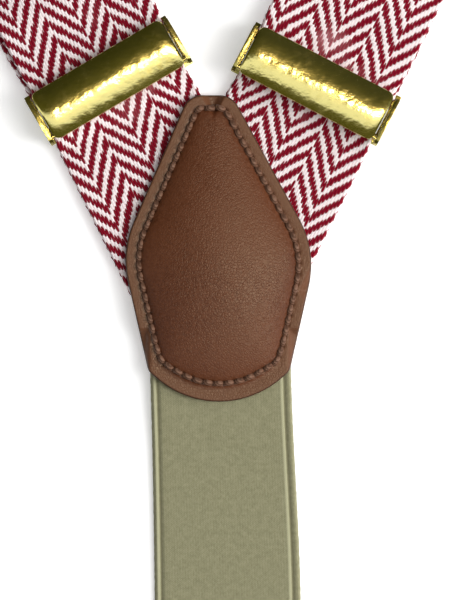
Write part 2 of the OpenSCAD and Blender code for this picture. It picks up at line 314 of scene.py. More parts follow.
class Graph:
    """A node tree being wired, with short calls for the nodes that finishes use."""

    def __init__(self, tree: bpy.types.NodeTree) -> None:
        """Wraps a tree."""
        self.tree = tree

    def node(self, kind: str, **settings: object) -> bpy.types.Node:
        """Adds a node and sets its properties."""
        made = self.tree.nodes.new(kind)
        for key, value in settings.items():
            setattr(made, key, value)
        return made

    def feed(self, socket: Socket, value: object) -> None:
        """Links a socket or sets its value."""
        if isinstance(value, Socket):
            self.tree.links.new(value, socket)
        elif value is not None:
            socket.default_value = value

    def math(self, operation: str, a: object, b: object = None, c: object = None) -> Socket:
        """One scalar operation on up to three values."""
        made = self.node("ShaderNodeMath", operation=operation)
        for socket, value in zip(made.inputs, (a, b, c)):
            self.feed(socket, value)
        return made.outputs[0]

    def noise(self, vector: object, scale: float, detail: float = 3.0,
              rough: float = 0.55) -> Socket:
        """Soft noise from 0 to 1 at a place."""
        made = self.node("ShaderNodeTexNoise")
        self.feed(made.inputs["Vector"], vector)
        made.inputs["Scale"].default_value = scale
        made.inputs["Detail"].default_value = detail
        made.inputs["Roughness"].default_value = rough
        return made.outputs["Fac"]

    def ease(self, value: object, low: float, high: float, to_low: float = 0.0,
             to_high: float = 1.0) -> Socket:
        """Maps a range smoothly onto another, clamped at its ends."""
        made = self.node("ShaderNodeMapRange", interpolation_type="SMOOTHSTEP")
        for socket, number in zip(made.inputs, (value, low, high, to_low, to_high)):
            self.feed(socket, number)
        return made.outputs[0]

    def blend(self, share: object, a: object, b: object, way: str = "MIX") -> Socket:
        """Mixes two colours."""
        made = self.node("ShaderNodeMix", data_type="RGBA", blend_type=way)
        self.feed(made.inputs[0], share)
        self.feed(made.inputs[6], colour(a))
        self.feed(made.inputs[7], colour(b))
        return made.outputs[2]

    def here(self) -> Socket:
        """The object's own coordinates, in metres."""
        return self.node("ShaderNodeTexCoord").outputs["Object"]

    def turned(self, vector: object, about_z: float) -> Socket:
        """A vector turned about the up axis."""
        made = self.node("ShaderNodeMapping")
        self.feed(made.inputs["Vector"], vector)
        made.inputs["Rotation"].default_value = (0.0, 0.0, about_z)
        return made.outputs[0]

    def stretched(self, vector: object, scale: tuple) -> Socket:
        """A vector scaled along each axis."""
        made = self.node("ShaderNodeMapping")
        self.feed(made.inputs["Vector"], vector)
        made.inputs["Scale"].default_value = scale
        return made.outputs[0]

    def joined(self, *numbers: object) -> Socket:
        """A vector from up to three numbers; None leaves its part at 0."""
        made = self.node("ShaderNodeCombineXYZ")
        for socket, number in zip(made.inputs, numbers):
            self.feed(socket, number)
        return made.outputs[0]

    def parts(self, vector: object) -> tuple:
        """The x, y and z of a vector."""
        made = self.node("ShaderNodeSeparateXYZ")
        self.feed(made.inputs[0], vector)
        return tuple(made.outputs)

    def group(self, tree: bpy.types.NodeTree, **values: object) -> bpy.types.Node:
        """Places a node group with its inputs set by name."""
        made = self.node("ShaderNodeGroup", node_tree=tree)
        for key, value in values.items():
            self.feed(made.inputs[key.replace("_", " ")], value)
        return made

    def bump(self, height: object, strength: float, depth: float) -> Socket:
        """A normal bent by a height, whose depth is in metres."""
        made = self.node("ShaderNodeBump")
        self.feed(made.inputs["Height"], height)
        made.inputs["Strength"].default_value = strength
        made.inputs["Distance"].default_value = depth
        return made.outputs[0]


def colour(value: object) -> object:
    """Gives a plain RGB triple its alpha; leaves sockets and numbers alone."""
    return (*value, 1.0) if isinstance(value, tuple) and len(value) == 3 else value


def new_group(name: str, inputs: dict, outputs: dict) -> tuple:
    """Makes an empty shader node group.

    Args:
        name: The group's name.
        inputs: Input names, each with its default number, or None for a vector.
        outputs: Output names, each with its socket type.

    Returns:
        The graph inside the group, its input node and its output node.
    """
    tree = bpy.data.node_groups.new(name, "ShaderNodeTree")
    for key, value in inputs.items():
        kind = "NodeSocketVector" if value is None else "NodeSocketFloat"
        made = tree.interface.new_socket(key, in_out="INPUT", socket_type=kind)
        if value is not None:
            made.default_value = value
    for key, kind in outputs.items():
        tree.interface.new_socket(key, in_out="OUTPUT", socket_type=kind)
    graph = Graph(tree)
    return graph, graph.node("NodeGroupInput"), graph.node("NodeGroupOutput")


@dataclass
class Effects:
    """Shader effects that several finishes share, each built once."""

    made: dict = field(default_factory=dict)

    def mottle(self) -> bpy.types.NodeTree:
        """Slow and quick variation in tone, centred on 1."""
        if "mottle" not in self.made:
            graph, given, result = new_group(
                "tone_mottle", {"Place": None, "Coarse": 60.0, "Fine": 900.0, "Amount": 0.2},
                {"Tone": "NodeSocketFloat"})
            coarse, fine = (graph.node("ShaderNodeTexNoise") for _ in range(2))
            for made, key in ((coarse, "Coarse"), (fine, "Fine")):
                graph.feed(made.inputs["Vector"], given.outputs["Place"])
                graph.feed(made.inputs["Scale"], given.outputs[key])
                made.inputs["Detail"].default_value = 3.0
            both = graph.math("ADD", coarse.outputs["Fac"], fine.outputs["Fac"])
            centred = graph.math("SUBTRACT", both, 1.0)
            swing = graph.math("MULTIPLY", centred, given.outputs["Amount"])
            graph.feed(result.inputs["Tone"], graph.math("ADD", swing, 1.0))
            self.made["mottle"] = graph.tree
        return self.made["mottle"]

    def grain(self) -> bpy.types.NodeTree:
        """Pebbled hide: raised cells with creases between them."""
        if "grain" not in self.made:
            graph, given, result = new_group(
                "hide_grain", {"Place": None, "Pebbles": 1400.0},
                {"Height": "NodeSocketFloat", "Crease": "NodeSocketFloat"})
            cells = graph.node("ShaderNodeTexVoronoi", feature="DISTANCE_TO_EDGE")
            wander = graph.node("ShaderNodeTexNoise")
            graph.feed(wander.inputs["Vector"], given.outputs["Place"])
            wander.inputs["Scale"].default_value = 700.0
            shift = graph.node("ShaderNodeVectorMath", operation="MULTIPLY_ADD")
            graph.feed(shift.inputs[0], wander.outputs["Color"])
            shift.inputs[1].default_value = (0.0005, 0.0005, 0.0005)
            graph.feed(shift.inputs[2], given.outputs["Place"])
            graph.feed(cells.inputs["Vector"], shift.outputs[0])
            graph.feed(cells.inputs["Scale"], given.outputs["Pebbles"])
            raised = graph.ease(cells.outputs["Distance"], 0.0, 0.22)
            graph.feed(result.inputs["Height"], raised)
            graph.feed(result.inputs["Crease"], graph.math("SUBTRACT", 1.0, raised))
            self.made["grain"] = graph.tree
        return self.made["grain"]

    def ply(self) -> bpy.types.NodeTree:
        """The slanted ridges of a twisted thread."""
        if "ply" not in self.made:
            graph, given, result = new_group(
                "thread_ply", {"Place": None, "Strands": 3500.0}, {"Height": "NodeSocketFloat"})
            x, y, z = graph.parts(given.outputs["Place"])
            slant = graph.math("ADD", graph.math("ADD", x, y), graph.math("MULTIPLY", z, 1.7))
            wave = graph.math("SINE", graph.math("MULTIPLY", slant, given.outputs["Strands"]))
            graph.feed(result.inputs["Height"], graph.math("MULTIPLY_ADD", wave, 0.5, 0.5))
            self.made["ply"] = graph.tree
        return self.made["ply"]


EFFECTS = Effects()


# ---------------------------------------------------------------- finishes


@dataclass(frozen=True)
class Finish:
    """A finish with a name and a slot name; a child class wires its own nodes."""

    name: str = "finish"
    slot: str = "brass"

    def wire(self, graph: Graph, skin: bpy.types.Node) -> None:
        """Wires this finish into its shader."""
        raise NotImplementedError

    def material(self) -> bpy.types.Material:
        """The material, built the first time it is asked for."""
        made = bpy.data.materials.get(self.name)
        if made is None:
            made = bpy.data.materials.new(self.name)
            made.use_nodes = True
            self.wire(Graph(made.node_tree), made.node_tree.nodes["Principled BSDF"])
        return made

    def dress(self, piece: Piece) -> None:
        """Gives a piece this material."""
        piece.data.materials.clear()
        piece.data.materials.append(self.material())


@dataclass(frozen=True)
class Weave:
    """The herringbone's cut: how wide a yarn is, where it turns and how often it repeats."""

    yarn: float = 35.0 / 57.0 * MM
    yarns_to_turn: int = 11
    repeat: float = 250.0 / 57.0 * MM
    slope: float = 1.4
    red_share: float = 0.60
    blend_in_yarn: float = 0.32
    yarn_jitter: float = 0.35 * MM
    wander: float = 1.3 * MM
    tick_lean: float = 0.08 * MM
    tick_change: float = 0.44
    tick_shift: float = -0.20
    tick_rounding: float = 0.30

    def phase(self, across: np.ndarray, along: np.ndarray) -> np.ndarray:
        """Where each point lies in the repeat, from 0 to 1; the weave breaks by half at each turn."""
        count = np.round(across / self.yarn)
        folded = np.abs((np.abs(count) + self.yarns_to_turn) % (2 * self.yarns_to_turn) - self.yarns_to_turn)
        half = 0.5 * (np.floor((count + 0.5) / self.yarns_to_turn) % 2.0)
        return ((along - folded * self.yarn * self.slope) / self.repeat + half) % 1.0


WEAVE = Weave()


@dataclass(frozen=True)
class Herringbone(Finish):
    """Crimson and cream herringbone webbing."""

    slot: str = "woven_web"
    drape: Drape = Drape.SURFACE
    turn: float = 0.0
    aside: float = 0.0
    ahead: float = 0.0
    red: tuple = (0.225, 0.0008, 0.014)
    deep_red: tuple = (0.100, 0.0003, 0.006)
    cream: tuple = (0.94, 0.84, 0.84)
    blush: tuple = (0.72, 0.36, 0.38)

    def wire(self, graph: Graph, skin: bpy.types.Node) -> None:
        """Wires yarn columns whose colour steps along a zigzag."""
        if self.drape is Drape.SURFACE:
            across, along, _ = graph.parts(graph.node("ShaderNodeUVMap", uv_map="cloth").outputs[0])
        else:
            across, along, _ = graph.parts(graph.turned(graph.here(), self.turn))
            across = graph.math("SUBTRACT", across, self.aside)
            along = graph.math("SUBTRACT", along, self.ahead)
        count = graph.math("DIVIDE", across, WEAVE.yarn)
        column = graph.math("ROUND", count)
        off_middle = graph.math("MULTIPLY", graph.math("SUBTRACT", count, column), 2.0)
        turn = float(WEAVE.yarns_to_turn)
        stepped = graph.math("PINGPONG", graph.math("ABSOLUTE", column), turn)
        straight = graph.math("PINGPONG", graph.math("ABSOLUTE", count), turn)
        folded = graph.math("SUBTRACT", straight, stepped)
        folded = graph.math("MULTIPLY_ADD", folded, WEAVE.blend_in_yarn, stepped)
        slide = graph.math("MULTIPLY", folded, WEAVE.yarn * WEAVE.slope)
        strip = graph.math("FLOOR", graph.math("DIVIDE", graph.math("ADD", column, 0.5), turn))
        half = graph.math("MULTIPLY", graph.math("FLOORED_MODULO", strip, 2.0), 0.5 * WEAVE.repeat)
        slide = graph.math("SUBTRACT", slide, half)
        chance = graph.node("ShaderNodeTexWhiteNoise", noise_dimensions="1D")
        graph.feed(chance.inputs["W"], column)
        wander = graph.noise(self.cell(graph, column, along), 1.0, 1.0)
        slide = graph.math("MULTIPLY_ADD", chance.outputs["Value"], WEAVE.yarn_jitter, slide)
        slide = graph.math("MULTIPLY_ADD", wander, WEAVE.wander, slide)
        slide = graph.math("MULTIPLY_ADD", off_middle, WEAVE.tick_lean, slide)
        turns = graph.math("DIVIDE", graph.math("SUBTRACT", along, slide), WEAVE.repeat)
        phase = graph.math("FRACT", turns)
        square = graph.math("MULTIPLY", off_middle, off_middle)
        change = graph.noise(self.cell(graph, column, along), 2.6, 2.0)
        longer = graph.math("MULTIPLY_ADD", change, WEAVE.tick_change, WEAVE.tick_shift)
        rounded = graph.math("MULTIPLY", square, WEAVE.tick_rounding)
        inside = graph.math("SUBTRACT", WEAVE.red_share, rounded)
        inside = graph.math("ADD", inside, longer)
        from_middle = graph.math("ABSOLUTE", graph.math("SUBTRACT", phase, 0.5 * WEAVE.red_share))
        edge = graph.math("SUBTRACT", graph.math("MULTIPLY", inside, 0.5), from_middle)
        is_red = graph.ease(edge, -0.025, 0.025)
        tip = graph.ease(graph.math("ABSOLUTE", edge), 0.0, 0.11)
        crown = graph.math("SUBTRACT", 1.0, graph.math("MULTIPLY", square, 0.85))
        body = graph.math("MULTIPLY", graph.math("MAXIMUM", crown, 0.0), tip)
        fray = graph.noise(self.fibres(graph, across, along), 1.0, 4.0, 0.7)
        # Painted shade: each float is darker towards its sides and ends, deep red on the red floats and blush
        # on the cream ones, where the yarn rounds down between its neighbours.
        red = graph.blend(graph.ease(body, 0.05, 0.75), self.deep_red, self.red)
        cream = graph.blend(graph.ease(body, 0.0, 0.45), self.blush, self.cream)
        mixed = graph.blend(is_red, cream, red)
        worn = graph.ease(graph.noise(graph.here(), 55.0, 2.0), 0.60, 0.78, 0.0, 0.35)
        mixed = graph.blend(worn, mixed, self.blush)
        shade = graph.ease(fray, 0.3, 0.7, 0.82, 1.08)
        tint = graph.node("ShaderNodeCombineColor")
        for socket in tint.inputs[:3]:
            graph.feed(socket, shade)
        graph.feed(skin.inputs["Base Color"], graph.blend(1.0, mixed, tint.outputs[0], "MULTIPLY"))
        height = graph.math("ADD", body, graph.math("MULTIPLY", fray, 0.25))
        graph.feed(skin.inputs["Normal"], graph.bump(height, 0.75, 0.16 * MM))
        graph.feed(skin.inputs["Roughness"], graph.ease(body, 0.0, 1.0, 0.95, 0.7))
        skin.inputs["Specular IOR Level"].default_value = 0.12

    def cell(self, graph: Graph, column: object, along: object) -> Socket:
        """A slow wander that differs from yarn to yarn."""
        return graph.joined(graph.math("MULTIPLY", column, 1.7), graph.math("MULTIPLY", along, 420.0))

    def fibres(self, graph: Graph, across: object, along: object) -> Socket:
        """Fine fibres drawn out along each yarn."""
        return graph.joined(graph.math("MULTIPLY", across, 9000.0), graph.math("MULTIPLY", along, 1800.0))


@dataclass(frozen=True)
class Elastic(Finish):
    """Olive ribbed elastic, with a pale line of painted highlight and a line of painted shade in the groove
    near each edge.
    """

    slot: str = "elastic"
    half_width: float = 16.75 * MM
    # Distances of the painted highlight line from the left and the right edge. It sits on the groove's side
    # that faces the light from the right: outside the groove on the left, inside it on the right.
    highlight_left: float = 0.8 * MM
    highlight_right: float = 2.2 * MM
    highlight_width: float = 0.5 * MM
    groove_in: float = 1.5 * MM
    groove_width: float = 0.42 * MM
    rib_pitch: float = 0.62 * MM
    pick_pitch: float = 0.45 * MM
    ground: tuple = (0.262, 0.252, 0.142)
    light: tuple = (0.40, 0.39, 0.25)
    # Colour of the painted highlight line.
    pale: tuple = (0.43, 0.42, 0.265)
    dark: tuple = (0.105, 0.098, 0.048)

    def wire(self, graph: Graph, skin: bpy.types.Node) -> None:
        """Wires ribs along the band crossed by fine picks."""
        across, along, _ = graph.parts(graph.node("ShaderNodeUVMap", uv_map="cloth").outputs[0])
        rib = graph.math("SINE", graph.math("MULTIPLY", across, math.tau / self.rib_pitch))
        pick = graph.math("SINE", graph.math("MULTIPLY", along, math.tau / self.pick_pitch))
        crossed = graph.math("MULTIPLY", rib, pick)
        weave = graph.math("MULTIPLY_ADD", crossed, 0.3, graph.math("MULTIPLY", rib, 0.12))
        weave = graph.math("ADD", weave, 0.5)
        spot = graph.joined(graph.math("MULTIPLY", across, 2600.0), graph.math("MULTIPLY", along, 1500.0))
        speckle = graph.noise(spot, 1.0, 4.0, 0.75)
        cloudy = graph.math("MULTIPLY", graph.noise(graph.here(), 700.0, 3.0), 0.3)
        shade = graph.math("MULTIPLY_ADD", speckle, 0.5, graph.math("MULTIPLY_ADD", weave, 0.15, cloudy))
        body = graph.blend(graph.ease(shade, 0.28, 0.74), self.dark, self.light)
        body = graph.blend(0.55, body, self.ground)
        from_edge = graph.math("SUBTRACT", self.half_width, graph.math("ABSOLUTE", across))
        on_left = graph.math("GREATER_THAN", across, 0.0)
        # Painted highlight: a pale line near each edge, on the groove's side that faces the light from the
        # right. The same mask also lifts the bump.
        highlight_in = graph.math("MULTIPLY_ADD", on_left, self.highlight_left - self.highlight_right, self.highlight_right)
        pale = self.line(graph, from_edge, highlight_in, self.highlight_width)
        groove = self.line(graph, from_edge, self.groove_in, self.groove_width)
        body = graph.blend(graph.math("MULTIPLY", pale, 0.75), body, self.pale)
        # Painted shade: the groove is darkened towards the dark tone, over its real dip in the mesh and in
        # the bump.
        body = graph.blend(graph.math("MULTIPLY", groove, 0.5), body, self.dark)
        graph.feed(skin.inputs["Base Color"], body)
        height = graph.math("SUBTRACT", graph.math("ADD", weave, pale), groove)
        height = graph.math("MULTIPLY_ADD", speckle, 0.4, height)
        graph.feed(skin.inputs["Normal"], graph.bump(height, 0.45, 0.09 * MM))
        graph.feed(skin.inputs["Roughness"], graph.ease(speckle, 0.2, 0.8, 0.86, 0.66))
        skin.inputs["Sheen Weight"].default_value = 0.2
        skin.inputs["Specular IOR Level"].default_value = 0.3

    def line(self, graph: Graph, from_edge: object, at: object, width: float) -> Socket:
        """A soft line at a distance from both edges."""
        gap = graph.math("ABSOLUTE", graph.math("SUBTRACT", from_edge, at))
        return graph.ease(gap, 0.2 * width, width, 1.0, 0.0)


@dataclass(frozen=True)
class Hide(Finish):
    """Leather, by its grain or its flesh side; the attribute rim is the distance from the cut edge."""

    slot: str = "leather"
    side: Side = Side.GRAIN
    body: tuple = (0.118, 0.0370, 0.0140)
    deep: tuple = (0.078, 0.0210, 0.0070)
    rim_tone: tuple = (0.130, 0.054, 0.026)
    # Dark of the cut edge. It is also the colour of the painted shade in the needle holes.
    cut: tuple = (0.018, 0.009, 0.006)
    has_rim: bool = False
    lighter_rim_band: tuple = (2.9 * MM, 3.5 * MM)
    cut_band: tuple = (0.05 * MM, 0.5 * MM)
    grain_depth: float = 0.05 * MM
    flesh_depth: float = 0.14 * MM
    grain_rough: tuple = (0.30, 0.37)
    flesh_rough: tuple = (0.82, 0.95)

    def wire(self, graph: Graph, skin: bpy.types.Node) -> None:
        """Wires mottled hide with pebbled creases darkened as painted shade, painted shade round the needle
        holes, a lighter rim and a burnished edge.
        """
        here = graph.here()
        tone = graph.group(EFFECTS.mottle(), Place=here, Coarse=45.0, Fine=1300.0, Amount=0.6)
        base = graph.blend(graph.ease(tone.outputs[0], 0.75, 1.15), self.deep, self.body)
        grain = graph.group(EFFECTS.grain(), Place=here, Pebbles=1500.0)
        # Painted shade: the grain's creases are darkened towards the deep tone.
        crease_shade = graph.math("MULTIPLY", grain.outputs["Crease"], 0.18)
        base = graph.blend(crease_shade, base, self.deep)
        if self.has_rim:
            rim = graph.node("ShaderNodeAttribute", attribute_name="rim").outputs["Fac"]
            # The rim outside the seam is coloured lighter with the rim tone, fading out across the band of
            # distances from the edge.
            base = graph.blend(graph.ease(rim, *self.lighter_rim_band, 0.85, 0.0), base, self.rim_tone)
            # Painted shade in the needle holes: darkened towards the cut colour, over the real dents in the
            # mesh.
            sewn = graph.node("ShaderNodeAttribute", attribute_name="needle").outputs["Fac"]
            base = graph.blend(graph.math("MULTIPLY", sewn, 0.85), base, self.cut)
            base = graph.blend(graph.ease(rim, *self.cut_band, 0.7, 0.0), base, self.cut)
        graph.feed(skin.inputs["Base Color"], base)
        smooth = self.side is Side.GRAIN
        depth = self.grain_depth if smooth else self.flesh_depth
        nap = graph.noise(here, 2600.0, 4.0, 0.7)
        height = graph.math("MULTIPLY_ADD", nap, 0.7, grain.outputs["Height"])
        graph.feed(skin.inputs["Normal"], graph.bump(height, 0.5, depth))
        low, high = self.grain_rough if smooth else self.flesh_rough
        graph.feed(skin.inputs["Roughness"], graph.ease(tone.outputs[0], 0.85, 1.15, low, high))
        if smooth:
            skin.inputs["Specular IOR Level"].default_value = 0.30
        else:
            skin.inputs["Sheen Weight"].default_value = 0.25


@dataclass(frozen=True)
class Brass(Finish):
    """Polished brass, a little aged."""

    slot: str = "brass"
    bright: tuple = (0.88, 0.80, 0.31)
    tarnished: tuple = (0.62, 0.53, 0.13)
    roughness: float = 0.13

    def wire(self, graph: Graph, skin: bpy.types.Node) -> None:
        """Wires tarnish patches, drawing marks and fine dents."""
        here = graph.here()
        tone = graph.group(EFFECTS.mottle(), Place=here, Coarse=110.0, Fine=600.0, Amount=0.7)
        stain = graph.ease(tone.outputs[0], 0.98, 1.25, 0.0, 0.35)
        graph.feed(skin.inputs["Base Color"], graph.blend(stain, self.bright, self.tarnished))
        skin.inputs["Metallic"].default_value = 1.0
        drawn = graph.noise(graph.stretched(here, (0.25, 1.6, 1.0)), 1600.0, 3.0)
        dents = graph.noise(here, 330.0, 3.0)
        height = graph.math("MULTIPLY_ADD", drawn, 0.06, dents)
        graph.feed(skin.inputs["Normal"], graph.bump(height, 0.7, 0.2 * MM))
        rough = graph.math("MULTIPLY_ADD", stain, 0.25, self.roughness)
        graph.feed(skin.inputs["Roughness"], graph.math("MULTIPLY_ADD", drawn, 0.08, rough))


@dataclass(frozen=True)
class Thread(Finish):
    """Twisted sewing thread."""

    slot: str = "leather_thread"
    tone: tuple = (0.165, 0.080, 0.048)
    shadow: tuple = (0.075, 0.030, 0.015)

    def wire(self, graph: Graph, skin: bpy.types.Node) -> None:
        """Wires the ply's ridges into colour and height."""
        here = graph.here()
        ply = graph.group(EFFECTS.ply(), Place=here, Strands=5200.0).outputs["Height"]
        tone = graph.group(EFFECTS.mottle(), Place=here, Coarse=200.0, Fine=3000.0, Amount=0.5)
        share = graph.math("MULTIPLY", graph.ease(ply, 0.0, 0.8), tone.outputs[0])
        graph.feed(skin.inputs["Base Color"], graph.blend(share, self.shadow, self.tone))
        graph.feed(skin.inputs["Normal"], graph.bump(ply, 0.5, 0.06 * MM))
        graph.feed(skin.inputs["Roughness"], graph.ease(ply, 0.0, 1.0, 0.75, 0.5))


@dataclass(frozen=True)
class Felt(Finish):
    """Off-white padding felt."""

    slot: str = "padding"
    pale: tuple = (0.72, 0.69, 0.62)
    grey: tuple = (0.45, 0.42, 0.37)

    def wire(self, graph: Graph, skin: bpy.types.Node) -> None:
        """Wires matted fibres."""
        fibre = graph.noise(graph.here(), 1400.0, 5.0, 0.75)
        graph.feed(skin.inputs["Base Color"], graph.blend(graph.ease(fibre, 0.3, 0.7), self.grey, self.pale))
        graph.feed(skin.inputs["Normal"], graph.bump(fibre, 0.7, 0.2 * MM))
        graph.feed(skin.inputs["Roughness"], graph.ease(fibre, 0.0, 1.0, 0.98, 0.85))


BRASS = Brass("aged_brass")
# Painted shade: the adjuster frame takes a darker copy of the same brass, for the shade it lies in under the
# lever.
SHADED_FRAME_BRASS = Brass("shaded_frame_brass", bright=(0.40, 0.37, 0.12), tarnished=(0.22, 0.20, 0.05), roughness=0.16)
YOKE_HIDE = Hide("yoke_hide", has_rim=True)
TAB_HIDE = Hide("tab_hide")
LINING = Hide("lining_suede", "lining_leather", Side.FLESH, (0.31, 0.175, 0.10), (0.20, 0.10, 0.055))
HIDE_THREAD = Thread("waxed_thread")
WEB_THREAD = Thread("tack_thread", "web_thread", (0.38, 0.05, 0.085), (0.12, 0.008, 0.02))
OLIVE_THREAD = Thread("olive_thread", "web_thread", (0.33, 0.31, 0.18), (0.12, 0.11, 0.05))
FELT = Felt("padding_felt")
OLIVE_ELASTIC = Elastic("olive_elastic")
LOOSE_WEB = Herringbone("herringbone_on_band")


def fixed_web(side: str, inward: float, ahead: float) -> Herringbone:
    """Herringbone that stays in place while a run is pulled.

    Args:
        side: Which strap.
        inward: How far the weave's middle turn lies from the strap's own middle, along its across axis.
        ahead: Where along the strap the weave's repeat starts.

    Returns:
        The finish for that strap's long runs.
    """
    place = strap_place(side)
    aside = float(np.dot(place.origin, place.across)) + inward
    turn = math.atan2(place.along[0], place.along[1])
    return Herringbone(f"herringbone_{side}_strap", drape=Drape.PLACE, turn=turn, aside=aside, ahead=ahead)


# ---------------------------------------------------------------- stitches


@dataclass
class Stitcher:
    """Lays raised stitches along a path with a Geometry Nodes tree."""

    length: float = 1.9 * MM
    thread: float = 0.34 * MM
    rise: float = 0.42 * MM
    sides: int = 8
    segments: int = 6

    def tree(self, cyclic: bool) -> bpy.types.NodeTree:
        """Builds the tree once for closed paths and once for open ones.

        Args:
            cyclic: Whether the path closes on itself.

        Returns:
            The Geometry Nodes tree.
        """
        name = "stitch_ring" if cyclic else "stitch_row"
        if name in bpy.data.node_groups:
            return bpy.data.node_groups[name]
        tree = bpy.data.node_groups.new(name, "GeometryNodeTree")
        sockets = (("Path", "NodeSocketGeometry"), ("Count", "NodeSocketInt"), ("Length", "NodeSocketFloat"),
                   ("Thread", "NodeSocketFloat"), ("Rise", "NodeSocketFloat"), ("Turn", "NodeSocketFloat"),
                   ("Material", "NodeSocketMaterial"))
        for key, kind in sockets:
            tree.interface.new_socket(key, in_out="INPUT", socket_type=kind)
        tree.interface.new_socket("Stitches", in_out="OUTPUT", socket_type="NodeSocketGeometry")
        graph = Graph(tree)
        given, result = graph.node("NodeGroupInput"), graph.node("NodeGroupOutput")
        line = graph.node("GeometryNodeMeshToCurve")
        graph.feed(line.inputs["Mesh"], given.outputs["Path"])
        spaced = graph.node("GeometryNodeResampleCurve", mode="COUNT")
        graph.feed(spaced.inputs["Curve"], line.outputs[0])
        graph.feed(spaced.inputs["Count"], given.outputs["Count"])
        half = graph.math("MULTIPLY", given.outputs["Length"], 0.5)
        dip = graph.math("MULTIPLY", given.outputs["Thread"], -0.9)
        ends = [graph.joined(x, None, z) for x, z in
                ((graph.math("MULTIPLY", half, -1.0), dip), (None, given.outputs["Rise"]), (half, dip))]
        arch = graph.node("GeometryNodeCurveQuadraticBezier")
        arch.inputs["Resolution"].default_value = self.segments
        for key, value in zip(("Start", "Middle", "End"), ends):
            graph.feed(arch.inputs[key], value)
        ring = graph.node("GeometryNodeCurvePrimitiveCircle", mode="RADIUS")
        ring.inputs["Resolution"].default_value = self.sides
        graph.feed(ring.inputs["Radius"], given.outputs["Thread"])
        solid = graph.node("GeometryNodeCurveToMesh")
        graph.feed(solid.inputs["Curve"], arch.outputs[0])
        graph.feed(solid.inputs["Profile Curve"], ring.outputs[0])
        solid.inputs["Fill Caps"].default_value = True
        facing = graph.node("FunctionNodeAlignRotationToVector", axis="X", pivot_axis="Z")
        graph.feed(facing.inputs["Vector"], graph.node("GeometryNodeInputTangent").outputs[0])
        spin = graph.node("FunctionNodeRotateRotation", rotation_space="LOCAL")
        graph.feed(spin.inputs["Rotation"], facing.outputs[0])
        graph.feed(spin.inputs["Rotate By"], graph.joined(None, None, given.outputs["Turn"]))
        sown = graph.node("GeometryNodeInstanceOnPoints")
        graph.feed(sown.inputs["Points"], spaced.outputs[0])
        graph.feed(sown.inputs["Instance"], solid.outputs[0])
        graph.feed(sown.inputs["Rotation"], spin.outputs[0])
        real = graph.node("GeometryNodeRealizeInstances")
        graph.feed(real.inputs[0], sown.outputs[0])
        soft = graph.node("GeometryNodeSetShadeSmooth")
        graph.feed(soft.inputs[0], real.outputs[0])
        dressed = graph.node("GeometryNodeSetMaterial")
        graph.feed(dressed.inputs["Geometry"], soft.outputs[0])
        graph.feed(dressed.inputs["Material"], given.outputs["Material"])
        graph.feed(result.inputs[0], dressed.outputs[0])
        return tree

    def sew(self, name: str, path: np.ndarray, count: int, finish: Finish,
            cyclic: bool = False, turn: float = 0.0) -> Piece:
        """Sews a row of stitches.

        Args:
            name: The new piece's name.
            path: Rows of (x, y, z) along the seam.
            count: Number of stitches.
            finish: The thread's finish.
            cyclic: Whether the seam closes on itself.
            turn: Turn of every stitch from the seam's direction, in radians.

        Returns:
            The stitches as one plain mesh.
        """
        mesh = bpy.data.meshes.new(name)
        pairs = [(i, i + 1) for i in range(len(path) - 1)]
        if cyclic:
            pairs.append((len(path) - 1, 0))
        mesh.from_pydata(path.tolist(), pairs, [])
        piece = bpy.data.objects.new(name, mesh)
        bpy.context.scene.collection.objects.link(piece)
        tree = self.tree(cyclic)
        modifier = piece.modifiers.new("stitches", "NODES")
        modifier.node_group = tree
        values = {"Count": count, "Length": self.length, "Thread": self.thread, "Rise": self.rise,
                  "Turn": turn, "Material": finish.material()}
        for socket in tree.interface.items_tree:
            if socket.in_out == "INPUT" and socket.name in values:
                modifier[socket.identifier] = values[socket.name]
        baked(piece)
        finish.dress(piece)
        return piece


def bar_tack(name: str, place: Place, half: float, middle: tuple, finish: Finish) -> Piece:
    """A row of satin stitches across a folded end.

    Args:
        name: The piece's name.
        place: The frame that the row is laid out in.
        half: Half the row's length across the web.
        middle: The row's (along, up).
        finish: The thread.

    Returns:
        The row.
    """
    path = place.points(np.array([[-half, *middle], [half, *middle]]))
    row = Stitcher(length=4.2 * MM, thread=0.22 * MM, rise=0.3 * MM)
    return row.sew(name, path, TACK_STITCHES, finish, turn=TACK_TURN)


# ---------------------------------------------------------------- woven bands


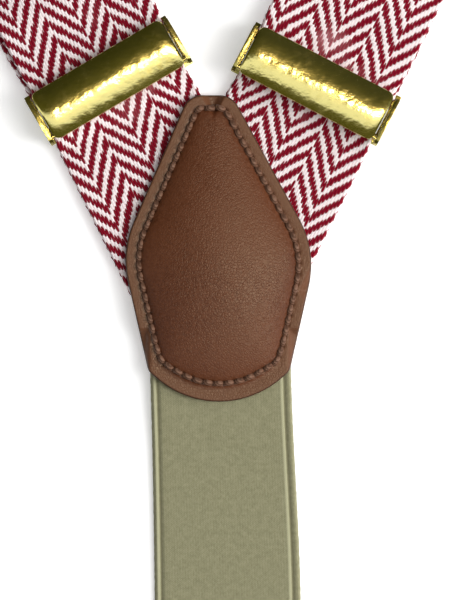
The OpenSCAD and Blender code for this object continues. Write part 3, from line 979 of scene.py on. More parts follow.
@dataclass
class Band:
    """A woven band swept along a path of (along, height) points."""

    width: float
    thick: float
    yarn: float = WEAVE.yarn
    ridge: float = 0.06 * MM
    row: float = 0.475 * MM
    loop_edge: float = 0.2 * MM
    zigzag: bool = True
    loop_pitch: float = 0.5 * WEAVE.repeat
    weave_aside: float = 0.0
    weave_ahead: float = 0.0
    groove_in: float = 0.0
    groove_deep: float = 0.0
    groove_wide: float = 0.45 * MM

    def section(self) -> tuple:
        """The band's cross-section.

        Returns:
            Across and height offsets from the middle of the band, going round once, the number of
            points on the upper face, and which of all the points lie on an edge.
        """
        columns = 2 * int(round(self.width / self.yarn)) // 2
        upper = np.linspace(-0.5 * self.width, 0.5 * self.width, 2 * columns + 1)
        lower = np.linspace(0.5 * self.width, -0.5 * self.width, columns // 2 + 1)
        half = 0.5 * self.thick
        bulge = 0.5 * self.width + 0.35 * half
        across = np.concatenate([upper, [bulge], lower, [-bulge]])
        height = np.concatenate([np.full(len(upper), half), [0.0], np.full(len(lower), -half), [0.0]])
        for k in (0, len(upper) - 1, len(upper) + 1, len(across) - 2):
            height[k] *= 0.55
        edge = np.abs(across) > 0.5 * self.width - 0.1 * MM
        return across, height, len(upper), edge

    def build(self, name: str, place: Place, path: np.ndarray, along: tuple,
              lean: Callable | None = None, pinch: Callable | None = None) -> Piece:
        """Sweeps the band.

        Args:
            name: The piece's name.
            place: The local frame of the path.
            path: Rows of (along, height) for the middle of the band's thickness.
            along: The cloth's own length coordinate at the path's two ends.
            lean: Sideways shift for each distance along, where the band isn't straight.
            pinch: Share of the full width for each distance along, where the band is drawn in.

        Returns:
            The band as a closed mesh with the UV map cloth, in metres.
        """
        line = resampled(path, self.row)
        rows = len(line)
        tangent = np.gradient(line, axis=0)
        tangent /= np.linalg.norm(tangent, axis=1, keepdims=True)
        across, height, upper, edge = self.section()
        cloth = np.linspace(along[0], along[1], rows)
        offset = np.tile(height, (rows, 1))
        offset[:, :upper] += self.relief(across[:upper], cloth)
        side = np.tile(across, (rows, 1))
        if pinch is not None:
            side = side * pinch(line[:, 0])[:, None]
        loops = np.sin(cloth * math.tau / self.loop_pitch) + 0.6 * np.sin(cloth * 5.3 * 1000.0)
        side += np.sign(across) * edge * loops[:, None] * self.loop_edge * 0.5
        if lean is not None:
            side = side + lean(line[:, 0])[:, None]
        ahead = line[:, :1] - tangent[:, 1:] * offset
        raised = line[:, 1:] + tangent[:, :1] * offset
        local = np.stack([side, ahead, raised], axis=-1)
        points = place.points(local.reshape(-1, 3))
        faces = grid_faces(rows, len(across))
        last = (rows - 1) * len(across)
        faces.append(list(range(len(across) - 1, -1, -1)))
        faces.append(list(range(last, last + len(across))))
        piece = new_piece(name, points, faces)
        widths = np.tile(across - self.weave_aside, (rows, 1))
        lengths = np.tile(cloth[:, None] - self.weave_ahead, (1, len(across)))
        at = np.stack([widths, lengths], axis=-1)
        put_map(piece, "cloth", at.reshape(-1, 2))
        piece.data.set_sharp_from_angle(angle=math.radians(65.0))
        return piece

    def relief(self, across: np.ndarray, cloth: np.ndarray) -> np.ndarray:
        """Height of the yarns over the band's face, at each row and column."""
        on_yarn = np.arange(len(across)) % 2 == 1
        height = np.where(on_yarn, self.ridge, -self.ridge)[None, :].repeat(len(cloth), 0)
        gap = 0.5 * self.width - np.abs(across) - self.groove_in
        height = height - self.groove_deep * np.exp(-((gap / self.groove_wide) ** 2))[None, :]
        if self.zigzag:
            phase = WEAVE.phase(across[None, :] - self.weave_aside, cloth[:, None] - self.weave_ahead)
            dip = np.abs(np.sin(math.tau * phase))
            height += np.where(on_yarn[None, :], (dip - 1.0) * self.ridge, 0.0)
        return height


# ---------------------------------------------------------------- yoke


@dataclass
class Outline:
    """A convex outline with rounded corners and rings at any distance inside it."""

    corners: list
    radii: list
    spacing: float = 0.42 * MM

    def inset(self, by: float) -> np.ndarray:
        """The corners moved inwards."""
        here = np.array(self.corners)
        back, ahead = np.roll(here, 1, axis=0), np.roll(here, -1, axis=0)
        unit = lambda v: v / np.linalg.norm(v, axis=1, keepdims=True)
        left = lambda v: np.stack([-v[:, 1], v[:, 0]], axis=1)
        first, second = left(unit(here - back)), left(unit(ahead - here))
        return here + by * (first + second) / (1.0 + (first * second).sum(1, keepdims=True))

    def pieces(self, by: float) -> list:
        """The centre, radius, start angle and turn of each corner's arc on an inner ring."""
        here = self.inset(by)
        count, arcs = len(here), []
        for k in range(count):
            radius = max(self.radii[k] - by, 0.5 * MM)
            to_back, to_ahead = here[k - 1] - here[k], here[(k + 1) % count] - here[k]
            to_back, to_ahead = to_back / np.linalg.norm(to_back), to_ahead / np.linalg.norm(to_ahead)
            half = 0.5 * math.acos(float(np.clip(to_back @ to_ahead, -1, 1)))
            toward = (to_back + to_ahead) / np.linalg.norm(to_back + to_ahead)
            centre = here[k] + toward * radius / math.sin(half)
            start = here[k] + to_back * radius / math.tan(half) - centre
            arcs.append((centre, radius, math.atan2(start[1], start[0]), math.pi - 2 * half))
        return arcs

    def ring(self, by: float = 0.0) -> np.ndarray:
        """A closed ring of points, the same number at every distance inwards."""
        outer, inner = self.pieces(0.0), self.pieces(by)
        count, points = len(outer), []
        ends = [(c + r * np.array([math.cos(a), math.sin(a)]),
                 c + r * np.array([math.cos(a + t), math.sin(a + t)])) for c, r, a, t in outer]
        for k, (centre, radius, begin, turn) in enumerate(inner):
            steps = max(4, int(round(outer[k][1] * outer[k][3] / self.spacing)))
            angles = begin + turn * np.linspace(0.0, 1.0, steps, endpoint=False)
            points.append(centre + radius * np.stack([np.cos(angles), np.sin(angles)], axis=1))
            follows = inner[(k + 1) % count]
            start = centre + radius * np.array([math.cos(begin + turn), math.sin(begin + turn)])
            end = follows[0] + follows[1] * np.array([math.cos(follows[2]), math.sin(follows[2])])
            gap = np.linalg.norm(ends[(k + 1) % count][0] - ends[k][1])
            steps = max(3, int(round(gap / self.spacing)))
            share = np.linspace(0.0, 1.0, steps, endpoint=False)[:, None]
            points.append(start + (end - start) * share)
        return np.vstack(points)


@dataclass
class Yoke:
    """The padded leather yoke that joins the straps and the elastic."""

    top_half: float = 5.0 * MM
    top_set: float = 2.0 * MM
    top: float = 48.0 * MM
    shoulder_half: float = 22.7 * MM
    shoulder: float = 11.8 * MM
    foot_half: float = 16.4 * MM
    foot: float = 16.0 * MM
    point: float = 30.0 * MM
    point_round: float = 22.0 * MM
    side_rounds: tuple = (3.0 * MM, 22.0 * MM, 5.0 * MM)
    hide: float = 1.5 * MM
    web: float = 1.2 * MM
    strap_half: float = 17.5 * MM
    strap_foot: float = 6.0 * MM
    seam_inset: float = 3.1 * MM
    seam_inset_foot: float = 4.3 * MM
    seam_pitch: float = 2.45 * MM
    dome: float = 3.3 * MM
    dome_foot: float = 3.3 * MM
    dome_shape: float = 0.72
    film_step: float = 0.4 * MM
    film_low: tuple = (-24.0 * MM, -33.0 * MM)
    film_high: tuple = (24.0 * MM, 51.0 * MM)
    film_rounds: int = 3500
    deepest_ring: float = 7.5 * MM
    dent: float = 0.6 * MM
    dent_reach: float = 0.48 * MM
    needle_reach: float = 0.55 * MM
    rim_depth: float = 0.8 * MM

    def __post_init__(self) -> None:
        """Works out the outline and the heights that other methods share."""
        low = [(self.foot_half, -self.foot), (self.shoulder_half, self.shoulder)]
        high = [(self.top_half - self.top_set, self.top), (-self.top_half - self.top_set, self.top)]
        mirrored = [(-x, y) for x, y in reversed(low)]
        corners = [(0.0, -self.point), *low, *high, *mirrored]
        radii = [self.point_round, *self.side_rounds, *reversed(self.side_rounds)]
        self.outline = Outline(corners, radii)
        self.film = self.soap_film()
        self.rim_top = self.hide + self.web + self.hide
        self.seam = self.seam_path()
        closed = np.vstack([self.seam, self.seam[:1]])
        self.stitches = int(round(arc_lengths(closed)[-1] / self.seam_pitch))
        self.holes = between(closed, self.stitches)

    def seam_path(self) -> np.ndarray:
        """The stitch line, further from the edge round the foot than along the sides."""
        near, far = self.outline.ring(self.seam_inset), self.outline.ring(self.seam_inset_foot)
        share = smooth_step((-10.0 * MM - near[:, 1]) / (8.0 * MM))[:, None]
        return near + (far - near) * share

    def covered(self, at: np.ndarray) -> np.ndarray:
        """How much of the woven layer lies under each point, from 0 to 1."""
        blur = 1.6 * MM
        cover = np.zeros(len(at))
        for side in STRAP_SIDES:
            place = strap_place(side)
            across = (at - np.array(place.origin[:2])) @ np.array(place.across[:2])
            inside = smooth_step((self.strap_half + blur - np.abs(across)) / blur)
            cover = np.maximum(cover, inside * smooth_step((at[:, 1] + self.strap_foot + blur) / blur))
        inside = smooth_step((self.strap_half - np.abs(at[:, 0])) / blur)
        return np.maximum(cover, inside * smooth_step((-self.strap_foot + blur - at[:, 1]) / blur))

    def inner_rings(self) -> list:
        """Pairs of ring points and their distance from the edge, from the spine outwards."""
        core = self.outline.ring(self.deepest_ring)
        middle = 12.0 * MM
        spine = np.stack([np.zeros(len(core)), middle + (core[:, 1] - middle) * 0.5], axis=1)
        right = core[core[:, 0] >= 0.0]
        right = right[np.argsort(right[:, 1])]
        half = np.interp(core[:, 1], right[:, 1], right[:, 0])
        apart = np.hypot(half, 0.5 * (core[:, 1] - middle))
        rings = []
        for share in np.linspace(0.0, 1.0, 17)[:-1]:
            reach = self.deepest_ring + 0.5 * (1.0 - share ** 2) * apart
            rings.append((spine + (core - spine) * share, reach))
        return rings

    def soap_film(self) -> np.ndarray:
        """Swells a film over the area inside the seam, as padding under leather does.

        Returns:
            A grid of shares of the full height, 0 at the seam and 1 at the crown, by row (y) and column (x).
        """
        xs = np.arange(self.film_low[0], self.film_high[0], self.film_step)
        ys = np.arange(self.film_low[1], self.film_high[1], self.film_step)
        x, y = np.meshgrid(xs, ys)
        inside = np.zeros(x.shape, bool)
        corners = self.outline.ring(self.dome_foot)
        for (x0, y0), (x1, y1) in zip(corners, np.roll(corners, -1, axis=0)):
            if y0 == y1:
                continue
            spans = (y0 > y) != (y1 > y)
            inside ^= spans & (x < (x1 - x0) * (y - y0) / (y1 - y0) + x0)
        film = np.zeros(x.shape)
        for _ in range(self.film_rounds):
            around = film[:-2, 1:-1] + film[2:, 1:-1] + film[1:-1, :-2] + film[1:-1, 2:]
            film[1:-1, 1:-1] = 0.25 * (around + 1.0)
            film *= inside
        for _ in range(3):
            around = film[:-2, 1:-1] + film[2:, 1:-1] + film[1:-1, :-2] + film[1:-1, 2:]
            film[1:-1, 1:-1] = 0.2 * (around + film[1:-1, 1:-1])
        return film / film.max()

    def swell(self, at: np.ndarray) -> np.ndarray:
        """Share of the dome's full height at rows of (x, y)."""
        column = (at[:, 0] - self.film_low[0]) / self.film_step
        row = (at[:, 1] - self.film_low[1]) / self.film_step
        i = np.clip(row.astype(int), 0, self.film.shape[0] - 2)
        j = np.clip(column.astype(int), 0, self.film.shape[1] - 2)
        v, u = row - i, column - j
        low = self.film[i, j] * (1.0 - u) + self.film[i, j + 1] * u
        high = self.film[i + 1, j] * (1.0 - u) + self.film[i + 1, j + 1] * u
        return np.clip(low * (1.0 - v) + high * v, 0.0, 1.0)

    def top_height(self, at: np.ndarray, depth: np.ndarray) -> np.ndarray:
        """Height of the leather's upper face.

        Args:
            at: Rows of (x, y).
            depth: Distance from the cut edge at each point.

        Returns:
            The height at each point.
        """
        rise = self.dome * self.swell(at) ** self.dome_shape
        sag = (1.0 - self.covered(at)) * self.web * (1.0 - smooth_step((depth - 3.0 * MM) / (5.0 * MM)))
        gap = np.abs(depth - self.seam_inset)
        groove = 0.10 * MM * np.exp(-((gap / (0.9 * MM)) ** 2))
        ripple = 0.05 * MM * np.sin(at[:, 0] * 260.0 + at[:, 1] * 140.0) * smooth_step(depth / (9.0 * MM))
        dents = self.dent * np.exp(-((nearest(at, self.holes) / self.dent_reach) ** 2))
        return self.rim_top + rise - 0.92 * sag - groove + ripple - dents

    def shell(self, name: str, heights: Callable, thick: float, edge_round: float) -> Piece:
        """A closed leather layer.

        Args:
            name: The piece's name.
            heights: Gives the upper face's height at points and their distances from the edge.
            thick: Thickness of the leather.
            edge_round: Radius that the cut edge is rounded to.

        Returns:
            The layer, with its distance from the edge stored as the attribute rim.
        """
        depths = np.concatenate([np.arange(self.deepest_ring, 0.9 * MM, -0.33 * MM), [0.65 * MM, 0.4 * MM]])
        turned = np.array([0.2 * MM, 0.07 * MM, 0.0])
        drops = edge_round * np.array([0.1, 0.38, 1.0])
        layers = []
        for ring, depth in self.inner_rings():
            layers.append((ring, depth, heights(ring, depth)))
        for by in depths:
            ring = self.outline.ring(by)
            depth = np.full(len(ring), by)
            layers.append((ring, depth, heights(ring, depth)))
        for by, drop in zip(turned, drops):
            ring = self.outline.ring(by)
            rim = np.full(len(ring), self.rim_depth)
            layers.append((ring, np.full(len(ring), by), heights(ring, rim) - drop))
        ring, depth, _ = layers[-1]
        base = heights(ring, np.full(len(ring), self.rim_depth)) - thick
        layers.append((ring, depth, base + edge_round))
        layers.append((self.outline.ring(0.3 * MM), depth, base))
        for by in (2.0 * MM, 4.0 * MM, 6.0 * MM):
            ring = self.outline.ring(by)
            smooth = heights(ring, np.full(len(ring), by)) - thick
            layers.append((ring, np.full(len(ring), by), smooth))
        for ring, depth in reversed(self.inner_rings()[::4]):
            layers.append((ring, depth, heights(ring, depth) - thick))
        rows = np.stack([np.column_stack([ring, z]) for ring, _, z in layers])
        piece = new_piece(name, rows.reshape(-1, 3), grid_faces(len(layers), rows.shape[1]))
        put_attribute(piece, "rim", np.concatenate([depth for _, depth, _ in layers]))
        # Nearness to the needle holes, stored as needle, where the leather paints shade.
        reach = nearest(rows.reshape(-1, 3)[:, :2], self.holes)
        put_attribute(piece, "needle", np.exp(-((reach / self.needle_reach) ** 2)))
        return cleaned(piece, reach=2e-6)

    def build(self) -> None:
        """Makes both leathers, the padding and the seam."""
        front = self.shell("yoke_front", self.top_height, self.hide, 0.45 * MM)
        YOKE_HIDE.dress(front)
        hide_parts("yoke_front_leather")
        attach(front, "yoke")

        back = self.shell("yoke_back", lambda at, depth: np.full(len(at), self.hide), self.hide, 0.3 * MM)
        LINING.dress(back)
        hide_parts("yoke_back_leather")
        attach(back, "yoke")

        pad_top = lambda at, depth: self.top_height(at, depth + 0.4 * MM) - self.hide - 0.1 * MM
        pad = self.pad(pad_top)
        FELT.dress(pad)
        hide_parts("yoke_padding")
        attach(pad, "yoke")

        lift = self.top_height(self.seam, np.full(len(self.seam), self.seam_inset)) + 0.12 * MM
        path = np.column_stack([self.seam, self.over_dents(lift)])
        stitcher = Stitcher(length=1.6 * MM, thread=0.72 * MM, rise=0.45 * MM)
        seam = stitcher.sew("yoke_seam", path, self.stitches, HIDE_THREAD, cyclic=True)
        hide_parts("yoke_stitching")
        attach(seam, "yoke")
        log.info("yoke: two leathers, padding and %d stitches", self.stitches)

    def over_dents(self, values: np.ndarray) -> np.ndarray:
        """The highest value near each one on a closed row, which keeps thread out of the dents."""
        reach = 6
        return np.max([np.roll(values, k) for k in range(-reach, reach + 1)], axis=0)

    def pad(self, top: Callable) -> Piece:
        """The felt under the dome, closed with a flat underside."""
        floor_z = self.hide + self.web + 0.02 * MM
        rings = self.inner_rings()
        layers = []
        for ring, depth in rings:
            layers.append(np.column_stack([ring, np.maximum(top(ring, depth), floor_z + 0.2 * MM)]))
        for by in (6.8 * MM, 6.1 * MM, 5.4 * MM):
            ring = self.outline.ring(by)
            z = np.maximum(top(ring, np.full(len(ring), by)), floor_z + 0.1 * MM)
            layers.append(np.column_stack([ring, z]))
        layers.append(np.column_stack([self.outline.ring(5.2 * MM), np.full(len(layers[0]), floor_z)]))
        for ring, _ in reversed(rings[::4]):
            layers.append(np.column_stack([ring, np.full(len(ring), floor_z)]))
        rows = np.stack(layers)
        piece = new_piece("yoke_pad", rows.reshape(-1, 3), grid_faces(len(layers), rows.shape[1]))
        return cleaned(piece, reach=2e-6)


# ---------------------------------------------------------------- straps


@dataclass
class Strap:
    """One woven strap: out of the yoke, through its adjuster, round its ring and back."""

    side: str
    width: float = 35.0 * MM
    thick: float = 1.2 * MM
    web_z: float = 1.5 * MM
    over_near_bar: float = 2.7 * MM
    over_far_bar: float = 3.8 * MM
    over_tack: float = 3.1 * MM
    bar_edge: float = 6.4 * MM
    bend: float = 3.8 * MM
    bend_gap: float = 1.1 * MM
    run_start: float = -10.5 * MM
    run_end: float = 30.0 * MM
    sewn_end: float = 20.0 * MM
    loop_run: float = 14.0 * MM
    loop_radius: float = 1.6 * MM
    pin_offset: float = 4.9 * MM
    foot: float = -6.0 * MM
    mitre: float = 0.15 * MM
    weave_inward: float = 0.6 * MM
    weave_start: dict = field(default_factory=lambda: {"left": -0.7 * MM, "right": -1.1 * MM})
    pinched: float = 0.975

    def __post_init__(self) -> None:
        """Reads the strap's line, its adjuster and its ring from the frame."""
        self.place = strap_place(self.side)
        pin = place_from_hinge(f"{self.side}_lever_hinge")
        self.adjuster = pin.shifted(self.pin_offset)
        self.at = float(np.dot(self.adjuster.origin, self.place.along))
        ring = joint(f"{self.side}_ring_swivel")["pos_m"]
        self.ring_at = float(np.dot(ring, self.place.along))
        self.bar_z = ring[2]
        aside = self.weave_inward if self.side == "left" else -self.weave_inward
        ahead = self.weave_start[self.side]
        self.band = Band(self.width, self.thick, weave_aside=aside, weave_ahead=ahead)
        self.coarse = Band(self.width, self.thick, row=0.95 * MM, weave_aside=aside, weave_ahead=ahead)
        self.web = fixed_web(self.side, aside, ahead)
        self.mid = 0.5 * self.thick
        skew = Vector(self.adjuster.along[:2]).angle_signed(Vector(self.place.along[:2]))
        self.skew = math.tan(skew)

    def drawn_in(self, along: np.ndarray) -> np.ndarray:
        """Share of the full width: the web is drawn in a little where it passes between the ears."""
        near = 1.0 - smooth_step((np.abs(along - self.at) - 6.0 * MM) / (4.0 * MM))
        return 1.0 - (1.0 - self.pinched) * near

    def back_in_line(self, along: np.ndarray) -> np.ndarray:
        """Sideways shift that brings the folded end back in line with the strap beyond the tack."""
        share = smooth_step((along - self.sewn_end + 4.0 * MM) / (self.run_end - self.sewn_end + 4.0 * MM))
        return self.skew * along * share

    def body(self, name: str) -> str:
        """The name of one of this side's bodies."""
        return f"{self.side}_{name}"

    def yoke_run(self) -> None:
        """The stretch from under the yoke to the adjuster, mitred against the other strap."""
        first, last = -self.width, self.at + self.run_start
        path = np.array([(first, self.web_z + self.mid), (last, self.web_z + self.mid)])
        piece = self.band.build(self.body("web_from_yoke"), self.place, path, (first, last))
        outward = 1.0 if self.side == "right" else -1.0
        self.cut(piece, (outward * self.mitre, 0.0, 0.0), (-outward, 0.0, 0.0))
        self.cut(piece, (0.0, self.foot, 0.0), (0.0, -1.0, 0.0))
        self.web.dress(piece)
        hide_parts(self.body("strap_yoke_run"))
        start = self.place.points(np.array([[0.0, last - 1.0 * MM, self.web_z]]))[0]
        end = self.place.points(np.array([[0.0, last - 0.2 * MM, self.web_z]]))[0]
        self.body("adjuster")
        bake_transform(piece)

    def cut(self, piece: Piece, at: tuple, away: tuple) -> None:
        """Cuts off what lies beyond a plane and closes the cut."""
        shape = bmesh.new()
        shape.from_mesh(piece.data)
        everything = [*shape.verts, *shape.edges, *shape.faces]
        done = bmesh.ops.bisect_plane(shape, geom=everything, plane_co=at, plane_no=away, clear_outer=True)
        rim = [e for e in done["geom_cut"] if isinstance(e, bmesh.types.BMEdge)]
        bmesh.ops.holes_fill(shape, edges=rim, sides=0)
        shape.to_mesh(piece.data)
        shape.free()

    def adjuster_run(self) -> None:
        """The stretch that rises over the adjuster's bars, under the lever."""
        rise = [(self.run_start, self.web_z), (self.run_start + 0.8 * MM, self.web_z),
                (-self.bar_edge - 0.2 * MM, self.over_near_bar), (-2.0 * MM, self.over_near_bar),
                (2.0 * MM, self.over_far_bar), (8.5 * MM, self.over_far_bar), (13.0 * MM, self.over_tack),
                (self.sewn_end + 2.0 * MM, self.over_tack), (self.run_end - 2.0 * MM, self.web_z),
                (self.run_end, self.web_z)]
        path = softened(rise) + np.array([self.at, self.mid])
        along = (self.at + self.run_start, self.at + self.run_end)
        piece = self.band.build(self.body("web_in_adjuster"), self.place, path, along, pinch=self.drawn_in)
        LOOSE_WEB.dress(piece)
        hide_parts(self.body("strap_adjuster_run"))
        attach(piece, self.body("adjuster"))
        self.body("adjuster_frame")

    def long_run(self, name: str, node: str, height: float) -> None:
        """One of the two long layers between the adjuster and the ring."""
        first, last = self.at + self.run_end, self.ring_at - self.loop_run
        path = np.array([(first, height + self.mid), (last, height + self.mid)])
        piece = self.coarse.build(self.body(name), self.place, path, (first, last))
        self.web.dress(piece)
        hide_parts(self.body(node))
        rests = [self.body("web_return")] if name == "web_front" else []
        start = self.place.points(np.array([[0.0, first + 2.0 * MM, height]]))[0]
        end = self.place.points(np.array([[0.0, last - 2.0 * MM, height]]))[0]
        self.body("adjuster")
        self.body("strap_front")
        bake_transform(piece)

    def end_loop(self) -> None:
        """The web's turn round the ring's bar."""
        radius = self.loop_radius + self.mid
        path = ring_loop(self.loop_run, self.web_z + self.mid, self.bar_z, radius, self.loop_run)
        path = path + np.array([self.ring_at, 0.0])
        start = self.ring_at - self.loop_run
        length = float(arc_lengths(path)[-1])
        piece = self.band.build(self.body("web_round_ring"), self.place, path, (start, start + length))
        LOOSE_WEB.dress(piece)
        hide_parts(self.body("strap_end_loop"))
        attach(piece, self.body("strap_front"))
        self.body("ring")

    def sewn_fold(self) -> None:
        """The web's end, folded round the adjuster's far bar and tacked down on itself."""
        radius = 0.5 * (self.bend_gap + self.thick)
        centre = self.mid + radius
        upper = [(self.bend + 0.3 * MM, centre + radius), (8.0 * MM, centre + radius),
                 (12.5 * MM, self.thick + self.mid), (self.sewn_end, self.thick + self.mid)]
        path = np.vstack([[(self.run_end, self.mid)], half_turn(self.bend, centre, radius, 270.0, 90.0),
                          softened(upper)])
        length = float(arc_lengths(path)[-1])
        name = self.body("web_sewn_fold")
        piece = self.band.build(name, self.adjuster, path, (0.0, length), self.back_in_line)
        LOOSE_WEB.dress(piece)
        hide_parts(self.body("strap_sewn_end"))
        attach(piece, self.body("adjuster"))
        self.body("adjuster_frame")
        self.tack()

    def tack(self) -> None:
        """Satin stitches across the folded end."""
        middle = (16.0 * MM, 2.0 * self.thick + 0.05 * MM)
        piece = bar_tack(self.body("tack"), self.adjuster, 0.45 * self.width, middle, WEB_THREAD)
        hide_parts(self.body("strap_bar_tack"))
        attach(piece, self.body("adjuster"))

    def build(self) -> None:
        """Makes every run of this strap."""
        self.yoke_run()
        self.adjuster_run()
        self.long_run("web_return", "strap_return_run", 0.0)
        self.long_run("web_front", "strap_front_run", self.web_z)
        self.end_loop()
        self.sewn_fold()
        log.info("%s strap: six runs of web and a tack", self.side)


# ---------------------------------------------------------------- adjusters and rings


@dataclass
class Adjuster:
    """A brass slide with a bowed lever on a pin."""

    side: str
    width: float = 38.0 * MM
    lever_w: float = 34.8 * MM
    lever_l: float = 12.3 * MM
    bow: float = 12.0 * MM
    plate: float = 0.9 * MM
    pin_z: float = 5.9 * MM
    pin_r: float = 0.6 * MM
    pin_offset: float = 4.9 * MM
    knuckle: float = 1.2 * MM
    corner: float = 1.5 * MM
    end_run: float = 2.2 * MM
    end_drop: float = 0.4 * MM
    teeth: int = 12
    tooth: float = 1.2 * MM
    tooth_reach: float = 1.7 * MM

    def __post_init__(self) -> None:
        """Reads the adjuster's middle from its lever's hinge."""
        self.place = place_from_hinge(f"{self.side}_lever_hinge").shifted(self.pin_offset)
        self.axis_z = self.pin_z + 1.0 * MM - math.sqrt(self.bow**2 - self.pin_offset**2)

    def frame_plate(self) -> None:
        """The stamped frame, with its edges broken."""
        piece = cad_copy(f"{self.side}_adjuster_base", f"{self.side}_adjuster_frame")
        shape = bmesh.new()
        shape.from_mesh(piece.data)
        bmesh.ops.dissolve_limit(shape, angle_limit=math.radians(1.0), verts=shape.verts, edges=shape.edges)
        shape.to_mesh(piece.data)
        shape.free()
        edge = piece.modifiers.new("broken edge", "BEVEL")
        edge.width = 0.16 * MM
        edge.segments = 3
        edge.limit_method = "ANGLE"
        edge.angle_limit = math.radians(50.0)
        baked(piece)
        piece.data.set_sharp_from_angle(angle=math.radians(45.0))
        # The frame's darker brass is painted shade.
        SHADED_FRAME_BRASS.dress(piece)
        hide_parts(f"{self.side}_adjuster_base")
        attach(piece, f"{self.side}_adjuster")

    def pin(self) -> None:
        """The pin, with a peened head outside each ear."""
        profile = [(0.0, 0.0), (0.25, 0.75), (0.55, 1.0), (0.95, 1.08), (1.0, 0.6), (1.4, 0.6)]
        half = 0.5 * self.width + 0.12 * MM
        stations = [(-half + x * 0.6 * MM, r * self.pin_r * 1.3) for x, r in profile]
        stations += [(-x, r) for x, r in reversed(stations)]
        sides = 24
        turns = np.linspace(0.0, math.tau, sides, endpoint=False)
        rows = [np.column_stack([np.full(sides, x), -self.pin_offset + max(r, 0.02 * MM) * np.sin(turns),
                                 self.pin_z + max(r, 0.02 * MM) * np.cos(turns)]) for x, r in stations]
        faces = grid_faces(len(rows), sides)
        faces.append(list(range(sides - 1, -1, -1)))
        faces.append(list(range((len(rows) - 1) * sides, len(rows) * sides)))
        piece = new_piece(f"{self.side}_hinge_pin", self.place.points(np.vstack(rows)), faces)
        cleaned(piece)
        BRASS.dress(piece)
        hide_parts(f"{self.side}_adjuster_pin")
        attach(piece, f"{self.side}_adjuster")

    def plate_point(self, across: np.ndarray, share: np.ndarray, lift: float) -> np.ndarray:
        """Points on a face of the bowed plate.

        Args:
            across: Distance from the plate's middle towards its ends.
            share: From -1 at the yoke's edge to 1 at the far edge.
            lift: Height above the plate's underside, along its normal.

        Returns:
            Rows of (across, along, up).
        """
        from_end = 0.5 * self.lever_w - np.abs(across)
        into = np.clip(1.0 - from_end / self.corner, 0.0, 1.0)
        half = 0.5 * self.lever_l - self.corner * (1.0 - np.sqrt(1.0 - into**2))
        along = share * half
        angle = np.arcsin(along / (self.bow + self.plate))
        radius = self.bow + lift
        fall = self.end_drop * np.clip(1.0 - from_end / self.end_run, 0.0, 1.0) ** 2
        up = self.axis_z + radius * np.cos(angle) - fall
        return np.stack([across, radius * np.sin(angle), up], axis=-1)

    def lever(self) -> None:
        """The bowed plate with rounded corners, its knuckle and its teeth."""
        ends = 0.5 * self.lever_w * (1.0 - (1.0 - np.linspace(0.0, 1.0, 14)) ** 2)
        across = np.concatenate([-ends[::-1], ends[1:]])
        share = np.linspace(-1.0, 1.0, 41)
        grid_a, grid_s = (g.ravel() for g in np.meshgrid(across, share, indexing="ij"))
        chamfer = 0.14 * MM
        shapes = [self.closed_plate(across, share, grid_a, grid_s, chamfer)]
        knuckle = self.barrel(self.knuckle, 0.5 * self.lever_w - 1.8 * MM)
        shapes.append(knuckle)
        for k in range(self.teeth):
            shapes.append(self.one_tooth((k - 0.5 * (self.teeth - 1)) * 2.0 * self.tooth))
        vertices, faces, base = [], [], 0
        for points, quads in shapes:
            vertices.append(points)
            faces += [[i + base for i in quad] for quad in quads]
            base += len(points)
        piece = new_piece(f"{self.side}_lever_plate", self.place.points(np.vstack(vertices)), faces)
        cleaned(piece, reach=1e-7)
        piece.data.set_sharp_from_angle(angle=math.radians(38.0))
        BRASS.dress(piece)
        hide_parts(f"{self.side}_adjuster_lever")
        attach(piece, f"{self.side}_lever")

    def closed_plate(self, across: np.ndarray, share: np.ndarray, grid_a: np.ndarray, grid_s: np.ndarray,
                     chamfer: float) -> tuple:
        """The plate as points and faces: two faces joined round a softened edge."""
        shrink = 1.0 - chamfer / (0.5 * self.lever_l)
        top = self.plate_point(grid_a * shrink, grid_s * shrink, self.plate)
        low = self.plate_point(grid_a * shrink, grid_s * shrink, 0.0)
        upper = self.plate_point(grid_a, grid_s, self.plate - chamfer)
        lower = self.plate_point(grid_a, grid_s, chamfer)
        rows, columns = len(across), len(share)
        rim = [i * columns for i in range(rows)]
        rim += [(rows - 1) * columns + j for j in range(1, columns)]
        rim += [i * columns + columns - 1 for i in range(rows - 2, -1, -1)]
        rim += list(range(columns - 2, 0, -1))
        size = rows * columns
        top_faces = grid_faces(rows, columns, wrap=False)
        low_faces = [[i + size for i in reversed(quad)] for quad in top_faces]
        ring_count = len(rim)
        points = np.vstack([top, low, upper[rim], lower[rim]])
        faces = top_faces + low_faces
        first, second = 2 * size, 2 * size + ring_count
        for k in range(ring_count):
            after = (k + 1) % ring_count
            faces.append([rim[k], rim[after], first + after, first + k])
            faces.append([first + k, first + after, second + after, second + k])
            faces.append([second + k, second + after, size + rim[after], size + rim[k]])
        return points, faces

    def barrel(self, radius: float, half: float) -> tuple:
        """The knuckle round the pin: a tube with closed rims."""
        sides = 32
        turns = np.linspace(0.0, math.tau, sides, endpoint=False)
        inner = self.pin_r + 0.05 * MM
        section = [(-half, inner), (-half, radius - 0.1 * MM), (-half + 0.1 * MM, radius),
                   (half - 0.1 * MM, radius), (half, radius - 0.1 * MM), (half, inner)]
        rows = [np.column_stack([np.full(sides, x), -self.pin_offset + r * np.sin(turns),
                                 self.pin_z + r * np.cos(turns)]) for x, r in section]
        faces = grid_faces(len(rows), sides)
        last = (len(rows) - 1) * sides
        faces += [[last + k, last + (k + 1) % sides, (k + 1) % sides, k] for k in range(sides)]
        return np.vstack(rows), faces

